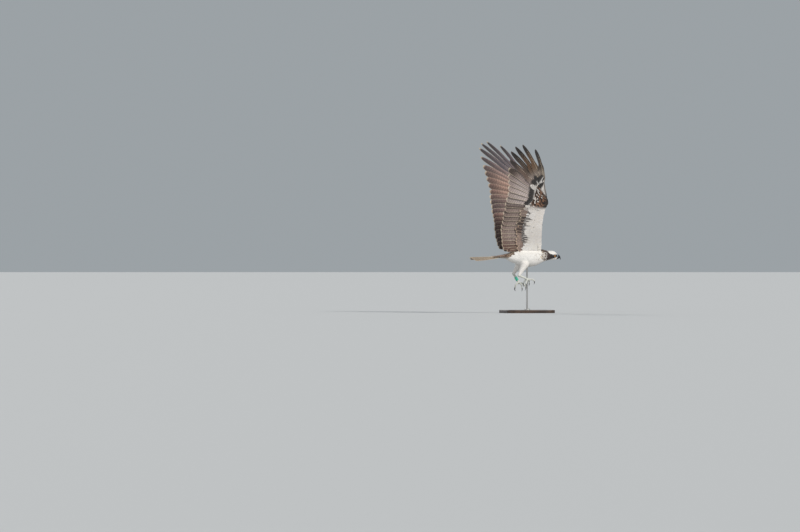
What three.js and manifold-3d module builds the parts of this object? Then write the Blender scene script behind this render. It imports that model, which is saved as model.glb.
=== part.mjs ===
// A life-size osprey in flight, both wings raised, on a plain display stand.
// Millimetres, +Z up. The bird heads along +X and the origin is under the middle of the stand's base.
import * as THREE from "three";
import { mergeVertices } from "three/addons/utils/BufferGeometryUtils.js";
import Module from "manifold-3d";

const wasm = await Module();
wasm.setup();

// Driving dimensions. Points of the bird are measured from its own frame: x forward from a line
// under the vent, y to its left, z up from the floor.
const GAP = 0.3; // between neighbouring pieces
const STAND_X = 75; // the rod and the middle of the base, in the bird's frame
const BANK = THREE.MathUtils.degToRad(3); // the left wing is the higher one
const BANK_HEIGHT = 340; // the bank turns about the body's middle
const TAIL_CUT = -62;
const NECK_CUT = 158;
const HEAD_CUT = 200;
const FACE_END = 262;
const TRUNK_ROUNDNESS = 2.15;

// The trunk from rump to face: x, height of its top, height of its bottom, half its width.
const TRUNK = [
  [-64, 351, 330, 17],
  [-40, 361, 313, 30],
  [0, 379, 296, 43],
  [40, 392, 284, 51],
  [80, 398, 276, 56],
  [120, 396, 281, 54],
  [150, 389, 294, 46],
  [175, 382, 306, 37],
  [200, 376, 314, 30],
  [218, 375, 316, 27.5],
  [236, 374, 317, 25.5],
  [250, 369, 319, 21],
  [258, 361, 322, 16],
  [262, 356, 325, 12],
];

// The flesh of the left wing, from inside the trunk to the end of the hand: its front edge,
// its rear edge and its thickness.
const WING_CORE = [
  [160, 24, 345, 12, 20, 362, 30],
  [152, 50, 420, 12, 52, 430, 30],
  [145, 80, 505, 6, 80, 512, 26],
  [144, 97, 565, 16, 100, 578, 22],
  [148, 114, 622, 44, 122, 640, 19],
  [158, 131, 668, 72, 143, 690, 18],
  [147, 151, 711, 74, 165, 737, 14],
  [128, 178, 762, 72, 192, 788, 11],
  [112, 201, 806, 76, 214, 828, 8],
  [101, 219, 838, 88, 228, 850, 5],
];

// Roots and tips of the flight feathers by their number, counted from the longest-fingered
// outermost primary (1 to 10) in to the last secondary.
const PRIMARIES = 10;
const SECONDARIES = 14;
const LAST_FEATHER = PRIMARIES + SECONDARIES;
const FEATHER_ROOTS = [
  [1, 112, 187, 772],
  [5, 124, 163, 722],
  [10, 138, 138, 672],
  [13, 104, 120, 622],
  [17, 66, 88, 520],
  [20, 70, 66, 456],
  [22, 76, 52, 416],
  [24, 72, 42, 384],
];
const FEATHER_TIPS = [
  [1, 5, 352, 994],
  [2, -78, 368, 1020],
  [3, -118, 350, 1009],
  [4, -136, 322, 979],
  [5, -134, 297, 928],
  [6, -127, 265, 876],
  [8, -117, 222, 802],
  [10, -110, 187, 727],
  [12, -113, 152, 662],
  [17, -113, 76, 528],
  [20, -108, 60, 460],
  [22, -99, 50, 412],
  [23, -90, 45, 392],
  [24, -62, 39, 374],
];

// The tail: rectrices fan out behind the rump.
const TAIL_FEATHERS = 12;
const TAIL_LENGTH = 208;
const TAIL_FAN = THREE.MathUtils.degToRad(13);
const TAIL_TILT = THREE.MathUtils.degToRad(2.5); // outer edges lie higher
const TAIL_FALL = THREE.MathUtils.degToRad(4.5);
const TAIL_ARCH = 7; // the outer feathers lie lower
const TAIL_ROOT = [-78, 0, 341];

// Legs: hip, heel and foot joint, then each toe's compass angle from straight ahead, its reach and drop.
const LEGS = {
  right: {
    hip: [66, -30, 320],
    heel: [10, -50, 228],
    foot: [66, -50, 205],
    toes: { front: [12, 44, 10], inner: [62, 36, 22], outer: [-128, 34, 26], hind: [158, 28, 24] },
  },
  left: {
    hip: [56, 30, 320],
    heel: [4, 40, 233],
    foot: [36, 35, 181],
    toes: { front: [-14, 42, 24], inner: [-72, 34, 30], outer: [118, 34, 30], hind: [-162, 28, 28] },
  },
};
const THIGH_RADIUS = 25;
const TARSUS_RADIUS = 6;
const TOE_RADIUS = 4.6;
const CLAW_LENGTH = 24;
const CLAW_RADIUS = 2.9;

// Head.
const EYE = { x: 243, y: 17.2, z: 343, radius: 7.6 };
const BILL_BASE_X = 248;

// The colour ring on the left leg.
const RING = { inner: 7.6, wall: 1.2, height: 24, along: 0.56 };

// Stand.
const BASE = { length: 300, width: 230, height: 18, corner: 40, bevel: 3 };
const ROD_RADIUS = 5;
const COLLAR = { radius: 16, height: 8 };

const seeded = (seed) => () => {
  seed = (seed * 1664525 + 1013904223) % 4294967296;
  return seed / 4294967296;
};

const vector = (p) => new THREE.Vector3(p[0], p[1], p[2]);

// Smooth interpolation of a table against its first column.
function track(rows) {
  const slope = (i, k) => {
    const a = rows[Math.max(0, i - 1)];
    const b = rows[Math.min(rows.length - 1, i + 1)];
    return (b[k] - a[k]) / (b[0] - a[0]);
  };
  return (u) => {
    let i = 0;
    while (i < rows.length - 2 && u > rows[i + 1][0]) i += 1;
    const span = rows[i + 1][0] - rows[i][0];
    const t = (u - rows[i][0]) / span;
    const values = [];
    for (let k = 1; k < rows[0].length; k += 1) {
      values.push(
        (2 * t ** 3 - 3 * t ** 2 + 1) * rows[i][k] +
          (t ** 3 - 2 * t ** 2 + t) * span * slope(i, k) +
          (3 * t ** 2 - 2 * t ** 3) * rows[i + 1][k] +
          (t ** 3 - t ** 2) * span * slope(i + 1, k),
      );
    }
    return values;
  };
}

// A geometry from points and triangles, with its faces turned outwards.
function closed(points, triangles) {
  let volume = 0;
  for (const [a, b, c] of triangles) {
    volume += points[a].dot(points[b].clone().cross(points[c]));
  }
  const facing = volume < 0 ? triangles.map(([a, b, c]) => [a, c, b]) : triangles;
  const geometry = new THREE.BufferGeometry();
  geometry.setAttribute("position", new THREE.Float32BufferAttribute(points.flatMap((p) => p.toArray()), 3));
  geometry.setIndex(facing.flat());
  return geometry;
}

// Skins equal rings of points from end to end and closes both ends.
function loft(rings) {
  const count = rings[0].length;
  const points = rings.flat();
  const triangles = [];
  for (let i = 0; i < rings.length - 1; i += 1) {
    for (let j = 0; j < count; j += 1) {
      const a = i * count + j;
      const b = i * count + ((j + 1) % count);
      triangles.push([a, b, b + count], [a, b + count, a + count]);
    }
  }
  for (const [ring, turned] of [[0, true], [rings.length - 1, false]]) {
    const middle = points.length;
    const sum = rings[ring].reduce((s, p) => s.clone().add(p), vector([0, 0, 0]));
    points.push(sum.divideScalar(count));
    for (let j = 0; j < count; j += 1) {
      const a = ring * count + j;
      const b = ring * count + ((j + 1) % count);
      triangles.push(turned ? [middle, b, a] : [middle, a, b]);
    }
  }
  return closed(points, triangles);
}

// A tapered round limb along points, with a radius at each.
function limb(path, radii, sides) {
  const rings = path.map((p, i) => {
    const next = path[Math.min(path.length - 1, i + 1)];
    const along = next.clone().sub(path[Math.max(0, i - 1)]).normalize();
    const side = new THREE.Vector3(0, 1, 0).addScaledVector(along, -along.y).normalize();
    const up = along.clone().cross(side);
    return Array.from({ length: sides }, (_, j) => {
      const angle = (2 * Math.PI * j) / sides;
      const offset = side.clone().multiplyScalar(Math.cos(angle)).addScaledVector(up, Math.sin(angle));
      return p.clone().addScaledVector(offset, radii[i]);
    });
  });
  return loft(rings);
}

// A thin sheet closed from its two faces, each a grid of points in rows with the same split.
function slab(faces, across) {
  const total = faces[0].length;
  const rows = total / across;
  const triangles = [];
  for (let i = 0; i < rows - 1; i += 1) {
    for (let j = 0; j < across - 1; j += 1) {
      const a = i * across + j;
      const d = a + across;
      triangles.push([a, a + 1, d + 1], [a, d + 1, d]);
      triangles.push([total + a, total + d + 1, total + a + 1], [total + a, total + d, total + d + 1]);
    }
  }
  const rim = [];
  for (let j = 0; j < across - 1; j += 1) rim.push(j);
  for (let i = 0; i < rows - 1; i += 1) rim.push(i * across + across - 1);
  for (let j = across - 1; j > 0; j -= 1) rim.push((rows - 1) * across + j);
  for (let i = rows - 1; i > 0; i -= 1) rim.push(i * across);
  rim.forEach((a, n) => {
    const b = rim[(n + 1) % rim.length];
    triangles.push([a, total + a, total + b], [a, total + b, b]);
  });
  return closed([...faces[0], ...faces[1]], triangles);
}

// One feather as a thin vane. lead and trail are its widths before and behind the shaft, and up is
// the side that its back faces. It bows forwards by bend and upwards by arch, its leading edge is
// raised by tilt, and finger narrows its outer part. rows are the stations from root to tip.
const LONG_ROWS = [0, 0.25, 0.55, 0.8, 0.93, 1];
const SHORT_ROWS = [0, 0.4, 0.78, 0.93, 1];
const COVERT_ROWS = [0, 0.6, 0.88, 1];
const ROUNDED_FROM = 0.78;
const VANE_THICKNESS = { root: 1.2, tip: 0.7 };
function vane({ root, tip, up, lead, trail, rows, arch, tilt, bend = 0, finger = 0 }) {
  const along = tip.clone().sub(root);
  const length = along.length();
  along.divideScalar(length);
  const front = along.clone().cross(up).normalize();
  const level = front.clone().cross(along);
  const side = front.clone().multiplyScalar(Math.cos(tilt)).addScaledVector(level, Math.sin(tilt));
  const normal = level.clone().multiplyScalar(Math.cos(tilt)).addScaledVector(front, -Math.sin(tilt));
  const faces = [[], []];
  for (const t of rows) {
    const bow = 4 * t * (1 - t);
    const shaft = root.clone().addScaledVector(along, length * t);
    shaft.addScaledVector(front, bend * bow).addScaledVector(level, arch * bow);
    const past = Math.max(0, t - ROUNDED_FROM) / (1 - ROUNDED_FROM);
    const rounding = Math.sqrt(Math.max(0.04, 1 - past ** 2));
    const rooting = Math.min(1, 0.2 + 4 * t);
    const notch = 1 - finger * THREE.MathUtils.smoothstep(t, 0.42, 0.6);
    const half = THREE.MathUtils.lerp(VANE_THICKNESS.root, VANE_THICKNESS.tip, t) / 2;
    for (const width of [-trail, lead]) {
      const edge = shaft.clone().addScaledVector(side, width * rounding * rooting * notch);
      faces[0].push(edge.clone().addScaledVector(normal, half));
      faces[1].push(edge.addScaledVector(normal, -half));
    }
  }
  return slab(faces, 2);
}

// Geometry to solid and back, for joins and cuts.
function solid(geometry) {
  const bare = geometry.clone();
  bare.deleteAttribute("normal");
  bare.deleteAttribute("uv");
  const merged = mergeVertices(bare, 1e-4);
  const vertProperties = merged.attributes.position.array;
  const triVerts = new Uint32Array(merged.index.array);
  return new wasm.Manifold(new wasm.Mesh({ numProp: 3, vertProperties, triVerts }));
}

function geometryOf(manifold) {
  const mesh = manifold.getMesh();
  const positions = new Float32Array(mesh.numVert * 3);
  for (let i = 0; i < mesh.numVert; i += 1) {
    positions.set(mesh.vertProperties.subarray(i * mesh.numProp, i * mesh.numProp + 3), i * 3);
  }
  const geometry = new THREE.BufferGeometry();
  geometry.setAttribute("position", new THREE.BufferAttribute(positions, 3));
  geometry.setIndex(new THREE.BufferAttribute(new Uint32Array(mesh.triVerts), 1));
  geometry.computeVertexNormals();
  return geometry;
}

const largest = (manifold) => manifold.decompose().sort((a, b) => b.volume() - a.volume())[0];

function fuse(geometries, cutters = []) {
  let joined = wasm.Manifold.union(geometries.map(solid));
  for (const cutter of cutters) joined = joined.subtract(cutter);
  return geometryOf(largest(joined));
}

// The trunk is one form, parted by thin flat cuts into torso, neck and head.
const TRUNK_SIDES = 20;
const trunkAt = track(TRUNK);
function trunk(from, to, count, grow = 0) {
  const rings = Array.from({ length: count + 1 }, (_, i) => {
    const x = from + ((to - from) * i) / count;
    const [top, bottom, half] = trunkAt(x);
    return Array.from({ length: TRUNK_SIDES }, (_, j) => {
      const angle = (2 * Math.PI * j) / TRUNK_SIDES;
      const c = Math.cos(angle);
      const s = Math.sin(angle);
      const power = 2 / TRUNK_ROUNDNESS;
      const y = (half + grow) * Math.sign(c) * Math.abs(c) ** power;
      const z = (top + bottom) / 2 + ((top - bottom) / 2 + grow) * Math.sign(s) * Math.abs(s) ** power;
      return new THREE.Vector3(x, y, z);
    });
  });
  return loft(rings);
}
const torsoForm = (grow) => trunk(TAIL_CUT, NECK_CUT - GAP / 2, 11, grow);
const torsoRoomForm = torsoForm(1.2 * GAP);
const torsoRoom = solid(torsoRoomForm);

// Wings. The left one is made first and the right one is its mirror with its own small variations.
// Points of the section: share of the way to the rear edge, share of half the thickness.
const WING_SECTION = [
  [0, 0],
  [0.06, 0.6],
  [0.28, 1],
  [0.62, 0.7],
  [1, 0.1],
  [1, -0.1],
  [0.62, -0.5],
  [0.28, -0.8],
  [0.06, -0.5],
];
const WING_CAMBER = 9;
const rootAt = track(FEATHER_ROOTS);
const tipAt = track(FEATHER_TIPS);

function wingCore() {
  const front = WING_CORE.map((r) => vector(r));
  const rear = WING_CORE.map((r) => vector(r.slice(3)));
  const rings = WING_CORE.map((r, i) => {
    const before = Math.max(0, i - 1);
    const after = Math.min(WING_CORE.length - 1, i + 1);
    const span = front[after].clone().add(rear[after]).sub(front[before]).sub(rear[before]);
    const chord = rear[i].clone().sub(front[i]);
    const up = span.cross(chord).normalize();
    const camber = WING_CAMBER * (r[6] / WING_CORE[0][6]);
    return WING_SECTION.map(([c, h]) => {
      const height = (h * r[6]) / 2 + camber * 4 * c * (1 - c);
      return front[i].clone().addScaledVector(chord, c).addScaledVector(up, height);
    });
  });
  return loft(rings);
}

// The dorsal direction at a flight feather: across its own line and its neighbours' tips.
function dorsal(number) {
  const step = 0.5;
  const a = Math.max(1, number - step);
  const b = Math.min(LAST_FEATHER, number + step);
  const outward = vector(tipAt(a)).add(vector(rootAt(a))).sub(vector(tipAt(b))).sub(vector(rootAt(b)));
  const along = vector(tipAt(number)).sub(vector(rootAt(number)));
  return outward.cross(along).normalize();
}

const FEATHER_TILT = THREE.MathUtils.degToRad(8);
const FINGERED = 5; // how many outer primaries are notched
const flightArch = (number) => (number <= PRIMARIES ? 10 : 14);
function flightFeather(number, chance) {
  const primary = number <= PRIMARIES;
  const root = vector(rootAt(number));
  const tip = vector(tipAt(number));
  tip.addScaledVector(tip.clone().sub(root).normalize(), 5 * (chance() - 0.5));
  return vane({
    root,
    tip,
    up: dorsal(number),
    lead: primary ? 13 : 17,
    trail: 28,
    finger: number <= FINGERED ? 0.42 - 0.05 * number : 0,
    bend: primary ? 16 - 1.3 * number : 0,
    arch: flightArch(number),
    tilt: FEATHER_TILT,
    rows: primary ? LONG_ROWS : SHORT_ROWS,
  });
}

// The greater coverts, one tier on each face of the wing: above is 1 on its back, -1 below.
const COVERTS = 15;
const COVERT_LIFT = 6.5; // from the flight feathers at a covert's tip
const flightBow = (number, share) => flightArch(number) * 4 * share * (1 - share);
function greaterCovert(index, above, chance) {
  const number = 1.6 + ((LAST_FEATHER - 2.6) * index) / (COVERTS - 1);
  const up = dorsal(number);
  const root = vector(rootAt(number));
  const tip = vector(tipAt(number));
  const share = (number < PRIMARIES ? 0.36 : 0.5) + 0.02 * (chance() - 0.5);
  const sprung = above > 0 ? 0.18 : 0.05; // share of the flight feather where the covert is rooted
  const rootLift = above > 0 ? flightBow(number, sprung) + 3 : -0.5;
  const tipLift = flightBow(number, share) + COVERT_LIFT * above;
  return vane({
    root: root.clone().lerp(tip, sprung).addScaledVector(up, rootLift),
    tip: root.clone().lerp(tip, share).addScaledVector(up, tipLift),
    up,
    lead: 18,
    trail: 24,
    tilt: FEATHER_TILT,
    arch: above > 0 ? 2 : 0,
    rows: COVERT_ROWS,
  });
}

// A geometry seen in a mirror along Y when side is -1.
function mirrored(geometry, side) {
  const { position } = geometry.attributes;
  const index = geometry.index.array;
  const flip = vector([1, side, 1]);
  const points = [];
  for (let i = 0; i < position.count; i += 1) {
    points.push(new THREE.Vector3().fromBufferAttribute(position, i).multiply(flip));
  }
  const triangles = [];
  for (let i = 0; i < index.length; i += 3) triangles.push([index[i], index[i + 1], index[i + 2]]);
  return closed(points, triangles);
}

function wing(side) {
  const chance = seeded(side > 0 ? 7 : 19);
  const pieces = [wingCore()];
  for (let n = 1; n <= LAST_FEATHER; n += 1) pieces.push(flightFeather(n, chance));
  for (let i = 0; i < COVERTS; i += 1) {
    for (const above of [1, -1]) pieces.push(greaterCovert(i, above, chance));
  }
  return fuse(pieces.map((piece) => mirrored(piece, side)), [torsoRoom]);
}

// Tail: a low flat rump piece and the fan of rectrices rooted in it.
function tail() {
  const chance = seeded(31);
  const back = [-Math.cos(TAIL_FALL), 0, -Math.sin(TAIL_FALL)];
  const [top, bottom, half] = trunkAt(TAIL_CUT);
  const stations = [
    [0, 1, 1, 0],
    [22, 0.92, 1.02, 0],
    [50, 0.62, 1.05, -0.5],
    [78, 0.3, 0.95, -1],
  ];
  const rings = stations.map(([along, tall, wide, drop]) =>
    Array.from({ length: 12 }, (_, j) => {
      const angle = (2 * Math.PI * j) / 12;
      const middle = (top + bottom) / 2 + along * back[2] + drop;
      return new THREE.Vector3(
        TAIL_CUT - GAP - along,
        half * wide * Math.cos(angle),
        middle + ((top - bottom) / 2) * tall * Math.sin(angle),
      );
    }),
  );
  const pieces = [loft(rings)];
  for (let i = 0; i < TAIL_FEATHERS; i += 1) {
    const share = (2 * i) / (TAIL_FEATHERS - 1) - 1;
    const turn = share * TAIL_FAN;
    const level = 1.4 * (5.5 - Math.abs(i - 5.5)) - TAIL_ARCH * share * share;
    const root = vector(TAIL_ROOT).add(vector([6 * Math.abs(share), 11 * share, 0.25 * level]));
    const length = TAIL_LENGTH - 9 * Math.abs(share) + 3 * (chance() - 0.5);
    const reach = vector([back[0] * Math.cos(turn), Math.sin(turn), back[2]]).multiplyScalar(length);
    pieces.push(
      vane({
        root,
        tip: root.clone().add(reach).add(vector([0, 0, level])),
        up: vector([0, 0.16 * share, 1]).normalize(),
        lead: share < 0 ? 15 : 10,
        trail: share < 0 ? 10 : 15,
        tilt: Math.sign(share) * TAIL_TILT,
        arch: 3,
        rows: SHORT_ROWS,
      }),
    );
  }
  return fuse(pieces);
}

// Head with its eye rooms, lids, brows and mouth line.
function eyeBall(side, grow = 0) {
  const g = new THREE.SphereGeometry(EYE.radius + grow, 12, 8);
  g.translate(EYE.x, side * EYE.y, EYE.z);
  return g;
}

function lids(side) {
  const g = new THREE.TorusGeometry(EYE.radius * 0.86, 1.5, 5, 14);
  g.rotateX(Math.PI / 2);
  g.rotateZ(-side * 0.12);
  g.translate(EYE.x, side * (EYE.y + EYE.radius * 0.5), EYE.z);
  return g;
}

function brow(side) {
  const g = new THREE.SphereGeometry(1, 10, 6);
  g.scale(13, 4.2, 3.2);
  g.rotateY(0.18);
  g.translate(EYE.x - 1, side * (EYE.y + 1.2), EYE.z + EYE.radius + 1.6);
  return g;
}

function mouthCut(side) {
  const g = new THREE.BoxGeometry(22, 5, 0.7);
  g.rotateY(0.16);
  g.translate(BILL_BASE_X + 5, side * 16.5, 332.4);
  return g;
}

const billRooms = [solid(upperBill(GAP)), solid(lowerBill(GAP))];
function head() {
  const room = [1, -1].flatMap((side) => [solid(eyeBall(side, GAP)), solid(mouthCut(side))]);
  const outer = [lids(1), lids(-1), brow(1), brow(-1)];
  return fuse([trunk(HEAD_CUT + GAP / 2, FACE_END, 9), ...outer], [...room, ...billRooms]);
}

// The bill: stations along its curve as x, height of its top, height of its bottom, half width.
function billLoft(stations, grow) {
  const at = track(stations);
  const count = 9;
  const [first, last] = [stations[0][0], stations[stations.length - 1][0]];
  const rings = Array.from({ length: count + 1 }, (_, i) => {
    const share = 1 - (1 - i / count) ** 1.5;
    const u = first + (last - first) * share;
    const [x, top, bottom, half] = at(u);
    return Array.from({ length: 10 }, (_, j) => {
      const angle = (2 * Math.PI * j) / 10;
      const z = (top + bottom) / 2 + ((top - bottom) / 2 + grow) * Math.sin(angle);
      return new THREE.Vector3(x, (half + grow) * Math.cos(angle), z);
    });
  });
  return loft(rings);
}

function upperBill(grow = 0) {
  return billLoft(
    [
      [0, BILL_BASE_X, 351, 334, 8.6],
      [1, 262, 354, 333.4, 8.4],
      [2, 270, 352, 333, 7],
      [3, 277.5, 347, 331.5, 5.2],
      [4, 283.5, 340, 327, 3.4],
      [5, 286.5, 330, 321.5, 1.7],
      [6, 286.8, 321.5, 318.5, 0.5],
    ],
    grow,
  );
}

function lowerBill(grow = 0) {
  return billLoft(
    [
      [0, BILL_BASE_X, 332.8, 322, 7.6],
      [1, 264, 332.4, 323.4, 6.8],
      [2, 272, 332, 325, 5.2],
      [3, 278.5, 330.4, 327.4, 2.6],
    ],
    grow,
  );
}

function nostril(side) {
  const g = new THREE.SphereGeometry(1, 10, 8);
  g.scale(2.6, 2.4, 0.9);
  g.rotateY(0.7);
  g.translate(268, side * 7.6, 346);
  return g;
}

// Legs. Each toe leaves the foot joint at its own compass angle, reaches out and bends down.
function toePath(foot, [angle, reach, drop]) {
  const turn = THREE.MathUtils.degToRad(angle);
  const out = vector([Math.cos(turn), Math.sin(turn), 0]);
  return [0, 0.34, 0.68, 1].map((t) => {
    const fall = drop * t * t - 2 * Math.sin(Math.PI * t);
    const joint = foot.clone().addScaledVector(out, reach * Math.sin((t * Math.PI) / 2.4));
    return joint.add(vector([0, 0, -fall]));
  });
}

function clawPath(toe) {
  const end = toe[toe.length - 1];
  const along = end.clone().sub(toe[toe.length - 2]).normalize();
  const flat = vector([along.x, along.y, 0]).normalize();
  const start = Math.max(-0.9, Math.asin(along.z));
  const path = [end.clone().addScaledVector(along, GAP)];
  const steps = 5;
  for (let i = 0; i < steps; i += 1) {
    const pitch = start - (i + 0.5) * 0.28;
    const stride = CLAW_LENGTH / steps;
    const next = path[i].clone().addScaledVector(flat, stride * Math.cos(pitch));
    path.push(next.add(vector([0, 0, stride * Math.sin(pitch)])));
  }
  return path;
}

function legNodes(name, leg) {
  const hip = vector(leg.hip);
  const heel = vector(leg.heel);
  const foot = vector(leg.foot);
  const shin = foot.clone().sub(heel).normalize();
  const knee = [0, 0.1, 0.3, 0.58, 0.85, 1].map((t) => hip.clone().lerp(heel, t));
  const thighRadii = [0.45, 0.8, 1, 0.7, 0.46, 0.38].map((share) => share * THIGH_RADIUS);
  const tarsusStart = heel.clone().addScaledVector(shin, 3);
  const tarsus = [0, 0.15, 0.5, 0.88, 1].map((t) => tarsusStart.clone().lerp(foot, t));
  const tarsusRadii = [1.4, 1.1, 1, 1.05, 1.2].map((share) => share * TARSUS_RADIUS);
  const thigh = limb(knee, thighRadii, 12);
  const thighRoom = solid(limb(knee, thighRadii.map((r) => r + GAP), 12));
  const shank = limb(tarsus, tarsusRadii, 10);
  const shankEnd = foot.clone().addScaledVector(shin, GAP);
  const roomRadii = [...tarsusRadii, tarsusRadii[4]].map((r) => r + GAP);
  const shankRoom = solid(limb([...tarsus, shankEnd], roomRadii, 10));
  const palm = new THREE.SphereGeometry(TARSUS_RADIUS * 1.35, 10, 6);
  palm.translate(...foot.clone().addScaledVector(shin, 3).toArray());
  const toes = Object.entries(leg.toes);
  const toePaths = toes.map(([, t]) => toePath(foot.clone().addScaledVector(shin, 3), t));
  const toeRadii = [TOE_RADIUS * 1.15, TOE_RADIUS, TOE_RADIUS * 0.92, TOE_RADIUS * 0.78];
  const nodes = {
    [`thigh_${name}`]: [fuse([thigh], [torsoRoom]), "plumage_white"],
    [`tarsus_${name}`]: [fuse([shank], [thighRoom]), "leg_skin"],
    [`foot_${name}`]: [fuse([palm, ...toePaths.map((p) => limb(p, toeRadii, 8))], [shankRoom]), "leg_skin"],
  };
  toes.forEach(([toe], i) => {
    const path = clawPath(toePaths[i]);
    const radii = path.map((_, k) => CLAW_RADIUS * (1 - k / path.length) ** 0.8 + 0.15);
    const room = solid(limb(toePaths[i], toeRadii.map((r) => r + GAP), 8));
    nodes[`claw_${toe}_${name}`] = [fuse([limb(path, radii, 6)], [room]), "claw"];
  });
  return nodes;
}

// The colour ring hangs loosely round the left tarsus.
function legRing() {
  const { inner, wall, height, along } = RING;
  const profile = [
    [inner, -height / 2],
    [inner + wall, -height / 2],
    [inner + wall, height / 2],
    [inner, height / 2],
    [inner, -height / 2],
  ].map(([r, y]) => new THREE.Vector2(r, y));
  const g = new THREE.LatheGeometry(profile, 24);
  const heel = vector(LEGS.left.heel);
  const shin = vector(LEGS.left.foot).sub(heel);
  const upright = new THREE.Vector3(0, 1, 0);
  g.applyQuaternion(new THREE.Quaternion().setFromUnitVectors(upright, shin.clone().normalize()));
  const middle = heel.addScaledVector(shin, along);
  g.translate(middle.x, middle.y, middle.z);
  return g;
}

// Stand.
function standBase() {
  const { length, width, height, corner, bevel } = BASE;
  const [a, b] = [length / 2 - bevel, width / 2 - bevel];
  const r = corner - bevel;
  const outline = new THREE.Shape();
  outline.absarc(a - r, b - r, r, 0, Math.PI / 2);
  outline.absarc(r - a, b - r, r, Math.PI / 2, Math.PI);
  outline.absarc(r - a, r - b, r, Math.PI, 1.5 * Math.PI);
  outline.absarc(a - r, r - b, r, 1.5 * Math.PI, 2 * Math.PI);
  outline.closePath();
  const g = new THREE.ExtrudeGeometry(outline, {
    depth: height - 2 * bevel,
    bevelThickness: bevel,
    bevelSize: bevel,
    bevelSegments: 1,
    curveSegments: 4,
  });
  g.translate(0, 0, bevel);
  return g;
}

// From the bird's own frame to the stand: the bank about the body's middle, then over the rod.
const birdMatrix = new THREE.Matrix4()
  .makeTranslation(-STAND_X, 0, BANK_HEIGHT)
  .multiply(new THREE.Matrix4().makeRotationX(BANK))
  .multiply(new THREE.Matrix4().makeTranslation(0, 0, -BANK_HEIGHT));

function standRod() {
  const from = BASE.height + GAP;
  const to = BANK_HEIGHT;
  const rod = new THREE.CylinderGeometry(ROD_RADIUS, ROD_RADIUS, to - from, 20);
  rod.rotateX(Math.PI / 2);
  rod.translate(0, 0, (from + to) / 2);
  return fuse([rod], [solid(torsoRoomForm.clone().applyMatrix4(birdMatrix))]);
}

function standCollar() {
  const { radius, height } = COLLAR;
  const bottom = BASE.height + GAP;
  const bore = ROD_RADIUS + GAP;
  const profile = [
    [bore, bottom],
    [radius, bottom],
    [radius, bottom + height * 0.6],
    [radius - 3, bottom + height],
    [bore, bottom + height],
    [bore, bottom],
  ].map(([r, y]) => new THREE.Vector2(r, y));
  const g = new THREE.LatheGeometry(profile, 16);
  g.rotateX(Math.PI / 2);
  return g;
}

const FINISHES = {
  plumage_white: { color: 0xe8e2d8, roughness: 0.85 },
  plumage_brown: { color: 0x4a3a30, roughness: 0.8 },
  bill: { color: 0x23262a, roughness: 0.4 },
  eye: { color: 0xd9861a, roughness: 0.1 },
  leg_skin: { color: 0xc9cfcb, roughness: 0.7 },
  claw: { color: 0x151413, roughness: 0.35 },
  ring_plastic: { color: 0x3fb59a, roughness: 0.4 },
  stand_wood: { color: 0x3b2a20, roughness: 0.5 },
  stand_metal: { color: 0x9a9590, roughness: 0.3, metalness: 1 },
};
const materials = {};
for (const [name, finish] of Object.entries(FINISHES)) {
  materials[name] = new THREE.MeshStandardMaterial({ name, ...finish });
}

const birdNodes = {
  torso: [torsoForm(0), "plumage_white"],
  neck: [trunk(NECK_CUT + GAP / 2, HEAD_CUT - GAP / 2, 4), "plumage_white"],
  head: [head(), "plumage_white"],
  bill_upper: [fuse([upperBill()], [solid(nostril(1)), solid(nostril(-1))]), "bill"],
  bill_lower: [lowerBill(), "bill"],
  eye_left: [eyeBall(1), "eye"],
  eye_right: [eyeBall(-1), "eye"],
  wing_left: [wing(1), "plumage_brown"],
  wing_right: [wing(-1), "plumage_brown"],
  tail: [tail(), "plumage_brown"],
  ...legNodes("left", LEGS.left),
  ...legNodes("right", LEGS.right),
  leg_ring: [legRing(), "ring_plastic"],
};
const standNodes = {
  stand_base: [standBase(), "stand_wood"],
  stand_rod: [standRod(), "stand_metal"],
  stand_collar: [standCollar(), "stand_metal"],
};

const osprey = new THREE.Group();
const bird = new THREE.Group();
birdMatrix.decompose(bird.position, bird.quaternion, bird.scale);
osprey.add(bird);
for (const [group, nodes] of [[bird, birdNodes], [osprey, standNodes]]) {
  for (const [name, [geometry, finish]] of Object.entries(nodes)) {
    const mesh = new THREE.Mesh(geometry, materials[finish]);
    mesh.name = name;
    group.add(mesh);
  }
}

export default osprey;
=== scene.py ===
# %% [markdown]
# A life-size osprey in flight, both wings raised, mounted on a plain display stand. A bird like this
# could be sculpted by hand, but its plumage is thousands of alike feathers, so the lesson builds them
# with arrays of numbers: a skin first, then tier upon tier of feathers laid over it.

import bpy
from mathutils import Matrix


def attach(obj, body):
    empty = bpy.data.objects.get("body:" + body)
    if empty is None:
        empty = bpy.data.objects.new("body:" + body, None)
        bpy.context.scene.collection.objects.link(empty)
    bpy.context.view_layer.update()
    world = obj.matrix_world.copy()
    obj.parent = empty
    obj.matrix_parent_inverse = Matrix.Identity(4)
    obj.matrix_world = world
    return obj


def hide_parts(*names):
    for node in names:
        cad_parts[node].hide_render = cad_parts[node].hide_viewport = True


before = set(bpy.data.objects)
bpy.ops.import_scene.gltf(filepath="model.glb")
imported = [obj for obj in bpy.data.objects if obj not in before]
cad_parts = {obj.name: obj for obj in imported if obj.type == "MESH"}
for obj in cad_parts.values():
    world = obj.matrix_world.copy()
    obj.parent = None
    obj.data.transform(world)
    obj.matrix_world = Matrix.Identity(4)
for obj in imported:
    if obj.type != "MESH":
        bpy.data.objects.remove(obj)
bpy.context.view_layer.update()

# %% [markdown]
# The bird is banked by three degrees on its stand. It is simpler to model it level, in millimetres,
# and to turn every finished piece into place, so one function does that for all of them.

# %% Turn the level bird into place
import math

import numpy as np

MM_PER_M = 1000
STAND_X = 75  # where the stand's upright meets the level bird
BANK = math.radians(3)
BANK_HEIGHT = 340


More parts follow.
